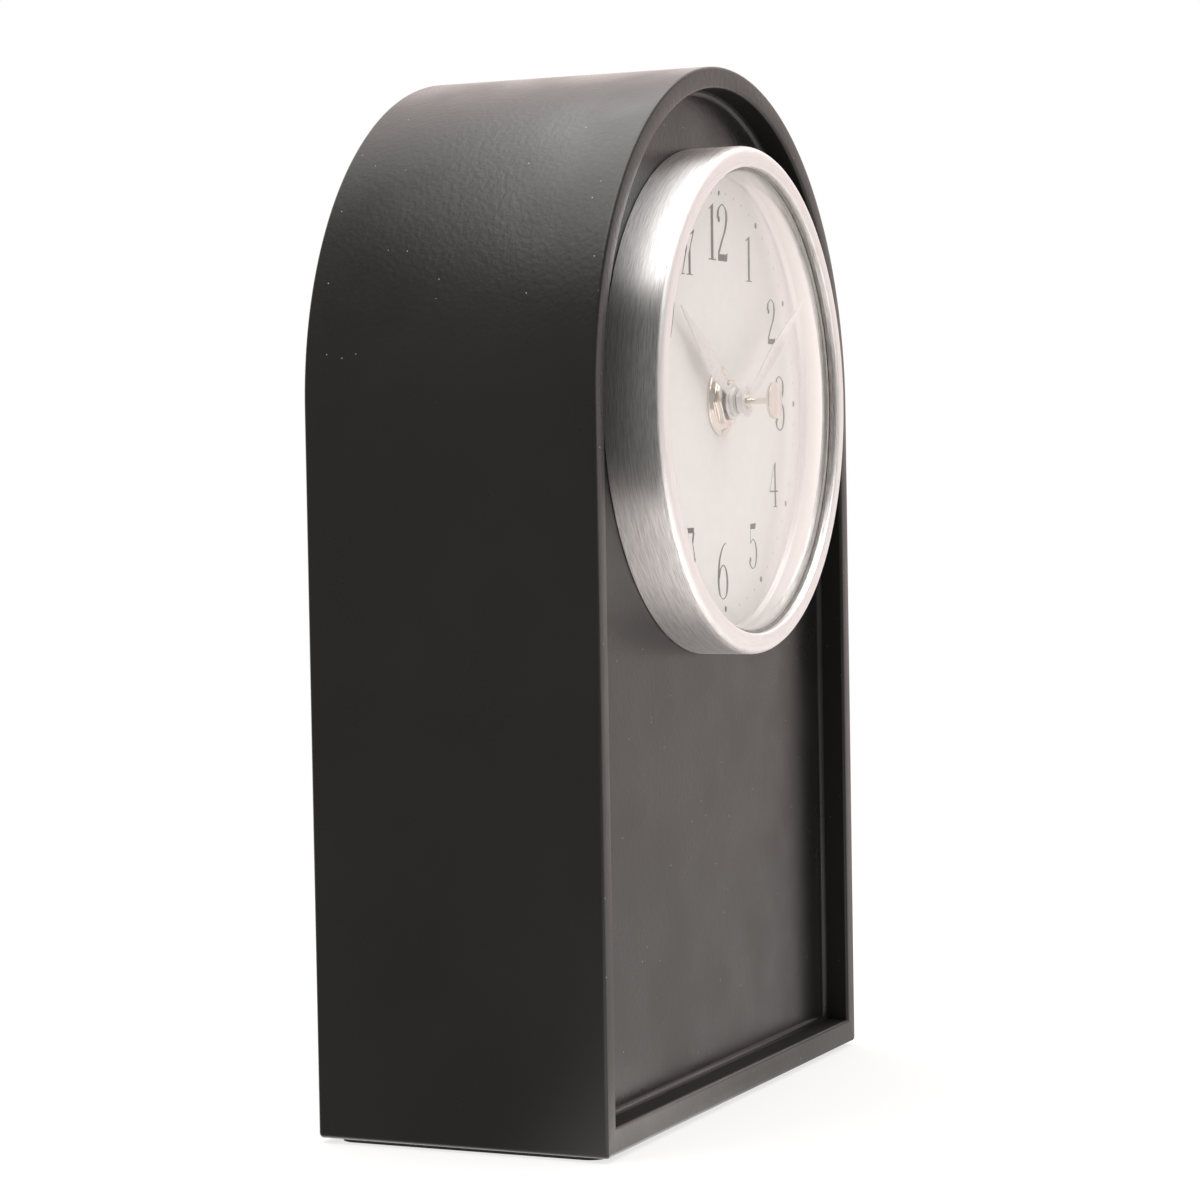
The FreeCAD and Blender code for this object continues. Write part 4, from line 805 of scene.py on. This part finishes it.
def figure_1(pen, x):
    pen.shape([(x + 0.16, 0.01), (x + 0.16 + STEM, 0.01), (x + 0.16 + STEM, 1.0), (x + 0.16, 0.955)])
    pen.stroke([(x + 0.17, 0.945), (x + 0.10, 0.905), (x + 0.03, 0.895)], HAIR * 1.6, fine=HAIR * 1.4)
    pen.shape([(x + 0.05, 0), (x + 0.39, 0), (x + 0.39, HAIR), (x + 0.05, HAIR)])


def figure_2(pen, x):
    pen.ball(x + 0.10, 0.725, 0.058)
    pen.stroke([(x + 0.05, 0.74), (x + 0.09, 0.90), (x + 0.26, 0.989), (x + 0.42, 0.90), (x + 0.455, 0.74),
                (x + 0.38, 0.54), (x + 0.22, 0.33), (x + 0.07, 0.11)], ROUND_STROKE * 1.2)
    pen.shape([(x + 0.04, 0), (x + 0.47, 0), (x + 0.50, 0.155), (x + 0.44, 0.125), (x + 0.06, 0.115)])


def figure_3(pen, x):
    pen.ball(x + 0.10, 0.775, 0.05)
    pen.stroke([(x + 0.055, 0.79), (x + 0.11, 0.94), (x + 0.25, 0.989), (x + 0.40, 0.90), (x + 0.42, 0.75),
                (x + 0.36, 0.60), (x + 0.21, 0.535)])
    pen.stroke([(x + 0.21, 0.535), (x + 0.39, 0.47), (x + 0.455, 0.28), (x + 0.39, 0.08), (x + 0.24, 0.011),
                (x + 0.10, 0.07), (x + 0.05, 0.19)])
    pen.ball(x + 0.095, 0.215, 0.05)


def figure_4(pen, x):
    right = x + 0.31 + STEM * 0.8
    pen.shape([(x + 0.31, 0.01), (right, 0.01), (right, 1.0), (x + 0.31, 0.96)])
    pen.stroke([(x + 0.02, 0.36), (x + 0.33, 0.975)], HAIR, fine=HAIR)
    pen.shape([(x + 0.01, 0.335), (x + 0.52, 0.335), (x + 0.52, 0.37), (x + 0.01, 0.37)])
    pen.shape([(x + 0.23, 0), (x + 0.49, 0), (x + 0.49, HAIR), (x + 0.23, HAIR)])


def figure_5(pen, x):
    pen.shape([(x + 0.11, 0.875), (x + 0.40, 0.87), (x + 0.45, 1.0), (x + 0.11, 0.985)])
    pen.stroke([(x + 0.12, 0.98), (x + 0.105, 0.56)], HAIR, fine=HAIR)
    pen.stroke([(x + 0.105, 0.56), (x + 0.25, 0.645), (x + 0.40, 0.55), (x + 0.45, 0.33), (x + 0.38, 0.09),
                (x + 0.22, 0.011), (x + 0.09, 0.07), (x + 0.04, 0.19)])
    pen.ball(x + 0.085, 0.21, 0.052)


def figure_6(pen, x):
    pen.stroke([(x + 0.42, 0.989), (x + 0.28, 0.92), (x + 0.13, 0.72), (x + 0.06, 0.46), (x + 0.06, 0.24),
                (x + 0.13, 0.06), (x + 0.27, 0.011), (x + 0.41, 0.09), (x + 0.465, 0.31), (x + 0.40, 0.53),
                (x + 0.28, 0.60), (x + 0.15, 0.53), (x + 0.075, 0.38)])


def figure_7(pen, x):
    pen.shape([(x + 0.05, 0.87), (x + 0.49, 0.87), (x + 0.49, 0.985), (x + 0.05, 0.985)])
    pen.stroke([(x + 0.06, 0.90), (x + 0.03, 0.74)], HAIR, fine=HAIR)
    pen.stroke([(x + 0.475, 0.89), (x + 0.36, 0.56), (x + 0.25, 0.27), (x + 0.21, 0.01)], ROUND_STROKE * 1.1)


def figure_8(pen, x):
    for middle, wide, tall in ((0.755, 0.155, 0.232), (0.27, 0.20, 0.258)):
        pen.stroke(oval(x + 0.26, middle, wide, tall), closed=True)


def figure_9(pen, x):
    pen.stroke([(x + 0.10, 0.011), (x + 0.24, 0.08), (x + 0.39, 0.28), (x + 0.46, 0.54), (x + 0.46, 0.76),
                (x + 0.39, 0.94), (x + 0.25, 0.989), (x + 0.11, 0.91), (x + 0.055, 0.69), (x + 0.12, 0.47),
                (x + 0.24, 0.40), (x + 0.37, 0.47), (x + 0.445, 0.62)])


def dots(bm, minutes, radius):
    """Round dots at the given minutes."""
    for minute in minutes:
        angle = math.radians(6 * minute)
        Pen(bm, DOT_RING * math.cos(angle), DOT_RING * math.sin(angle), 1.0).ball(0, 0, radius)


def printed(name, bm, material):
    """Makes flat shapes into a print on the dial, facing forward."""
    for face in bm.faces:
        face.normal_update()
        if face.normal.y > 0:
            face.normal_flip()
    mesh = bpy.data.meshes.new(name)
    bm.to_mesh(mesh)
    bm.free()
    mesh.materials.append(material)
    marking = bpy.data.objects.new(name, mesh)
    bpy.context.scene.collection.objects.link(marking)
    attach(marking, "clock_case")


FIGURES = [figure_0, figure_1, figure_2, figure_3, figure_4, figure_5, figure_6, figure_7, figure_8, figure_9]
FIGURE_WIDTH = 0.52
ONE_WIDTH = 0.44
# Heights of figures, and radii of rings and dots, in mm.
LARGE_FIGURE = 13.2
SMALL_FIGURE = 10.8
NUMERAL_RING = 39.2
DOT_RING = 48.5
HOUR_DOT = 0.72
MINUTE_DOT = 0.3

ink, tree, shader = drawn("dial_ink", (0.055, 0.053, 0.055), 0.5)
coloured(tree, shader, grain(tree, object_place(tree), 900.0), (0.045, 0.043, 0.045), (0.075, 0.072, 0.072))
bm = bmesh.new()
for hour in range(1, 13):
    size = LARGE_FIGURE if hour % 3 == 0 else SMALL_FIGURE
    digits = [int(letter) for letter in str(hour)]
    widths = [ONE_WIDTH if digit == 1 else FIGURE_WIDTH for digit in digits]
    angle = math.radians(90 - 30 * hour)
    pen = Pen(bm, NUMERAL_RING * math.cos(angle) - sum(widths) * size / 2,
              NUMERAL_RING * math.sin(angle) - size / 2, size)
    x = 0.0
    for digit, width in zip(digits, widths):
        FIGURES[digit](pen, x)
        x += width
dots(bm, range(0, 60, 5), HOUR_DOT)
printed("dial_figures", bm, ink)

faint_ink, tree, shader = drawn("faint_ink", (0.42, 0.40, 0.39), 0.5)
coloured(tree, shader, grain(tree, object_place(tree), 900.0), (0.39, 0.37, 0.36), (0.45, 0.43, 0.42))
bm = bmesh.new()
dots(bm, [minute for minute in range(60) if minute % 5], MINUTE_DOT)
printed("minute_dots", bm, faint_ink)


# Fixing at the dial's centre: a threaded bush holds the movement, with a rubber
# washer behind the backer, and a polished domed washer and hexagon nut in front.

WASHER_BORE = 4.05
WASHER_EDGE = 8.0
WASHER_RIM = 7.45
WASHER_HOLLOW = 7.1
WASHER_DOME = 6.1
RIM_FRONT = -31.95
HOLLOW_FRONT = -31.6
DOME_FRONT = -32.4
WASHER_STEPS = 96
nickel, tree, shader = drawn("polished_nickel", (0.78, 0.735, 0.68), 0.13, 1.0)
wiped = grain(tree, object_place(tree), 420.0, 4.0, 0.6)
coloured(tree, shader, wiped, (0.74, 0.695, 0.64), (0.82, 0.78, 0.73))
roughened(tree, shader, wiped, 0.09, 0.20)
washer = lathe([
    (WASHER_BORE, DIAL_FRONT, 0), (WASHER_EDGE, DIAL_FRONT, 0), (WASHER_EDGE, RIM_FRONT, 0.15),
    (WASHER_RIM, RIM_FRONT, 0.12), (WASHER_HOLLOW, HOLLOW_FRONT, 0.1),
    (WASHER_DOME, DOME_FRONT, 0.35), (WASHER_BORE, DOME_FRONT, 0),
], steps=WASHER_STEPS)
finish_mesh("dome_washer_polished", washer, nickel, stands_for=["dome_washer"], crease=45)

NUT_EASE = 0.12 * MM
FLAT_ANGLE = math.radians(0.5)
EDGE_ANGLE = math.radians(28)


def softened(name, node, material, width, body="clock_case", segments=2):
    """A copy of a CAD node's shape with its sharp edges eased."""
    bm = bmesh.new()
    bm.from_mesh(nodes[node].data)
    bm.transform(nodes[node].matrix_world)
    bmesh.ops.remove_doubles(bm, verts=bm.verts, dist=TOLERANCE)
    bmesh.ops.dissolve_limit(bm, angle_limit=FLAT_ANGLE, verts=bm.verts, edges=bm.edges)
    sharp = [e for e in bm.edges if e.is_manifold and e.calc_face_angle(0) > EDGE_ANGLE]
    rounded_edges(bm, sharp, width, segments)
    finish_mesh(name, bm, material, body, [node], crease=40)


softened("hex_nut_polished", "hex_nut", nickel, NUT_EASE)

plated_brass, tree, shader = drawn("plated_brass", (0.76, 0.72, 0.64), 0.22, 1.0)
worn = grain(tree, object_place(tree), 650.0)
coloured(tree, shader, ramp(tree, worn, 0.3, 0.75), (0.70, 0.65, 0.56), (0.80, 0.77, 0.71))
roughened(tree, shader, worn, 0.18, 0.30)
dressed(plated_brass, "threaded_bush", "minute_pipe")

soft_rubber, tree, shader = drawn("washer_rubber", (0.03, 0.03, 0.03), 0.7)
place = object_place(tree)
coloured(tree, shader, grain(tree, place, 250.0), (0.022, 0.022, 0.022), (0.05, 0.049, 0.047))
bumped(tree, shader, grain(tree, place, 1200.0, 2.0), 0.015 * MM)
dressed(soft_rubber, "rubber_washer")


# Movement case: a square box moulded in black plastic, its faces spark-textured,
# with a cover and a fluted knob for setting the hands.

KNOB_EASE = 0.12 * MM
housing_plastic, tree, shader = drawn("black_moulding", (0.028, 0.028, 0.031), 0.45)
place = object_place(tree)
sparked = grain(tree, place, 3200.0, roughness=0.65)
coloured(tree, shader, grain(tree, place, 60.0), (0.022, 0.022, 0.025), (0.036, 0.036, 0.040))
roughened(tree, shader, sparked, 0.38, 0.58)
bumped(tree, shader, sparked, 0.03 * MM)
dressed(housing_plastic, "movement_case", "movement_cover")
softened("setting_knob_moulded", "setting_knob", housing_plastic, KNOB_EASE, "setting_work")


# Wheels: small gears moulded in natural white acetal, four of them with a pinion on
# the same spindle; the second wheel's arbor is a ground steel pin.

wheel_plastic, tree, shader = drawn("natural_acetal", (0.80, 0.785, 0.73), 0.38,
                                    Subsurface_Weight=0.08, Subsurface_Scale=0.6 * MM)
place = object_place(tree)
cloud = ramp(tree, grain(tree, place, 180.0), 0.3, 0.7)
coloured(tree, shader, cloud, (0.77, 0.755, 0.69), (0.83, 0.82, 0.77))
roughened(tree, shader, grain(tree, place, 900.0, 2.0), 0.32, 0.46)
dressed(wheel_plastic, "second_wheel", "third_wheel", "intermediate_wheel", "centre_wheel",
        "minute_wheel", "hour_wheel", "setting_arbor", "rotor_pinion")

arbor_steel, tree, shader = drawn("ground_steel", (0.72, 0.71, 0.70), 0.18, 1.0)
ground = grain(tree, object_place(tree, (60.0, 2600.0, 60.0)), 1.0, 2.0)
coloured(tree, shader, ground, (0.66, 0.65, 0.64), (0.78, 0.77, 0.755))
roughened(tree, shader, ground, 0.14, 0.26)
dressed(arbor_steel, "second_arbor")


# Stepping motor: a ferrite magnet on the rotor, steel poles, and a nylon bobbin wound
# with enamelled copper wire.

magnet, tree, shader = drawn("sintered_ferrite", (0.07, 0.07, 0.075), 0.6)
powder = grain(tree, object_place(tree), 4200.0, roughness=0.7)
coloured(tree, shader, ramp(tree, powder, 0.35, 0.7), (0.045, 0.045, 0.05), (0.13, 0.13, 0.14))
bumped(tree, shader, powder, 0.02 * MM)
dressed(magnet, "rotor_magnet")

pole_steel, tree, shader = drawn("silicon_steel", (0.50, 0.505, 0.52), 0.38, 1.0)
rolled = grain(tree, object_place(tree, (40.0, 900.0, 2200.0)), 1.0)
coloured(tree, shader, rolled, (0.42, 0.425, 0.44), (0.60, 0.60, 0.61))
roughened(tree, shader, rolled, 0.30, 0.48)
dressed(pole_steel, "stator_plate", "coil_core")

bobbin_plastic, tree, shader = drawn("white_nylon", (0.74, 0.74, 0.70), 0.3)
place = object_place(tree)
coloured(tree, shader, grain(tree, place, 240.0), (0.70, 0.70, 0.655), (0.79, 0.79, 0.76))
roughened(tree, shader, grain(tree, place, 1100.0, 2.0), 0.25, 0.40)
dressed(bobbin_plastic, "coil_bobbin")

WIRE_PITCH = 0.12 * MM
# The length of one band of a wave texture at scale 1.
WAVE_BAND = 0.314
WIRE_GROOVE_SHADE = (0.30, 0.09, 0.04)
WIRE_CROWN_HIGHLIGHT = (0.66, 0.27, 0.12)
winding, tree, shader = drawn("enamelled_copper", (0.55, 0.20, 0.085), 0.25, 1.0)
turns = add(tree, "ShaderNodeTexWave", {
    "Vector": object_place(tree), "Scale": WAVE_BAND / WIRE_PITCH, "Distortion": 0.6,
    "Detail": 1.0}, wave_type="BANDS", bands_direction="X").outputs["Fac"]
# Painted light: each turn of wire has a painted highlight on its crown and painted shade in the groove beside
# the next turn, with a bump of the same bands.
coloured(tree, shader, turns, WIRE_GROOVE_SHADE, WIRE_CROWN_HIGHLIGHT)
bumped(tree, shader, turns, 0.03 * MM)
dressed(winding, "coil_winding")


# Circuit: a small glass-fibre board with etched tracks, a timing chip moulded in
# black resin, and a drawn can that holds the quartz crystal.

TRACK_GREEN = (0.11, 0.34, 0.15)
board_laminate, tree, shader = drawn("green_laminate", (0.035, 0.16, 0.075), 0.32)
place = object_place(tree)
tracks = add(tree, "ShaderNodeTexWave", {
    "Vector": place, "Scale": 160.0, "Distortion": 7.0, "Detail": 1.0,
    "Detail Scale": 0.6}, wave_type="BANDS", bands_direction="DIAGONAL").outputs["Fac"]
raised = ramp(tree, tracks, 0.58, 0.66)
laid = mixed_colour(tree, grain(tree, place, 2400.0, 2.0), (0.028, 0.13, 0.06), (0.045, 0.185, 0.09))
coloured(tree, shader, raised, laid, TRACK_GREEN)
bumped(tree, shader, raised, 0.035 * MM)
dressed(board_laminate, "circuit_board")

chip_resin, tree, shader = drawn("potting_resin", (0.018, 0.018, 0.019), 0.22)
place = object_place(tree)
coloured(tree, shader, grain(tree, place, 300.0, 2.0), (0.014, 0.014, 0.015), (0.026, 0.026, 0.028))
roughened(tree, shader, grain(tree, place, 700.0), 0.16, 0.36)
dressed(chip_resin, "timing_chip")

can_metal, tree, shader = drawn("drawn_can", (0.72, 0.715, 0.70), 0.24, 1.0)
draw_marks = grain(tree, object_place(tree, (80.0, 2400.0, 2400.0)), 1.0, 2.0)
coloured(tree, shader, draw_marks, (0.66, 0.655, 0.64), (0.78, 0.775, 0.76))
roughened(tree, shader, draw_marks, 0.18, 0.32)
dressed(can_metal, "crystal_can")


# Battery: one round cell lying in its tray between two plated spring contacts, in
# a plain grey printed jacket with a pale band at one end.

JACKET = (0.055, 0.058, 0.065)
JACKET_PALE = (0.075, 0.078, 0.086)
BAND = (0.55, 0.55, 0.54)
BAND_FROM = 17.0 * MM
battery_jacket, tree, shader = drawn("battery_jacket", JACKET, 0.28)
place = object_place(tree)
along = add(tree, "ShaderNodeSeparateXYZ", {0: place}).outputs[0]
jacket = mixed_colour(tree, grain(tree, place, 220.0, 2.0), JACKET, JACKET_PALE)
coloured(tree, shader, sums(tree, "GREATER_THAN", along, BAND_FROM), jacket, BAND)
roughened(tree, shader, grain(tree, place, 130.0), 0.22, 0.36)
dressed(battery_jacket, "battery")

contact_metal, tree, shader = drawn("plated_spring", (0.74, 0.725, 0.69), 0.2, 1.0)
plated = grain(tree, object_place(tree), 520.0)
coloured(tree, shader, plated, (0.68, 0.665, 0.63), (0.80, 0.785, 0.75))
roughened(tree, shader, plated, 0.15, 0.28)
dressed(contact_metal, "positive_contact", "negative_contact")


# Hands: stamped from thin aluminium, sprayed silver, each pressed on the collet that
# grips its pipe; a small round cap with a stem sits on the second arbor.

HAND_EASE = 0.07 * MM
COLLET_EASE = 0.10 * MM
CAP_EASE = 0.12 * MM
hand_metal, tree, shader = drawn("silver_hands", (0.82, 0.805, 0.80), 0.42, 0.7)
sprayed = grain(tree, object_place(tree), 900.0, roughness=0.6)
coloured(tree, shader, ramp(tree, sprayed, 0.3, 0.7), (0.78, 0.765, 0.76), (0.86, 0.845, 0.84))
roughened(tree, shader, sprayed, 0.36, 0.48)
bumped(tree, shader, sprayed, 0.008 * MM)
softened("hour_hand_stamped", "hour_hand", hand_metal, HAND_EASE, "hour_work")
softened("minute_hand_stamped", "minute_hand", hand_metal, HAND_EASE, "minute_work")
softened("hour_collet_turned", "hour_collet", hand_metal, COLLET_EASE, "hour_work")
softened("minute_collet_turned", "minute_collet", hand_metal, COLLET_EASE, "minute_work")
softened("seconds_cap_turned", "seconds_cap", nickel, CAP_EASE, "seconds_work", 3)
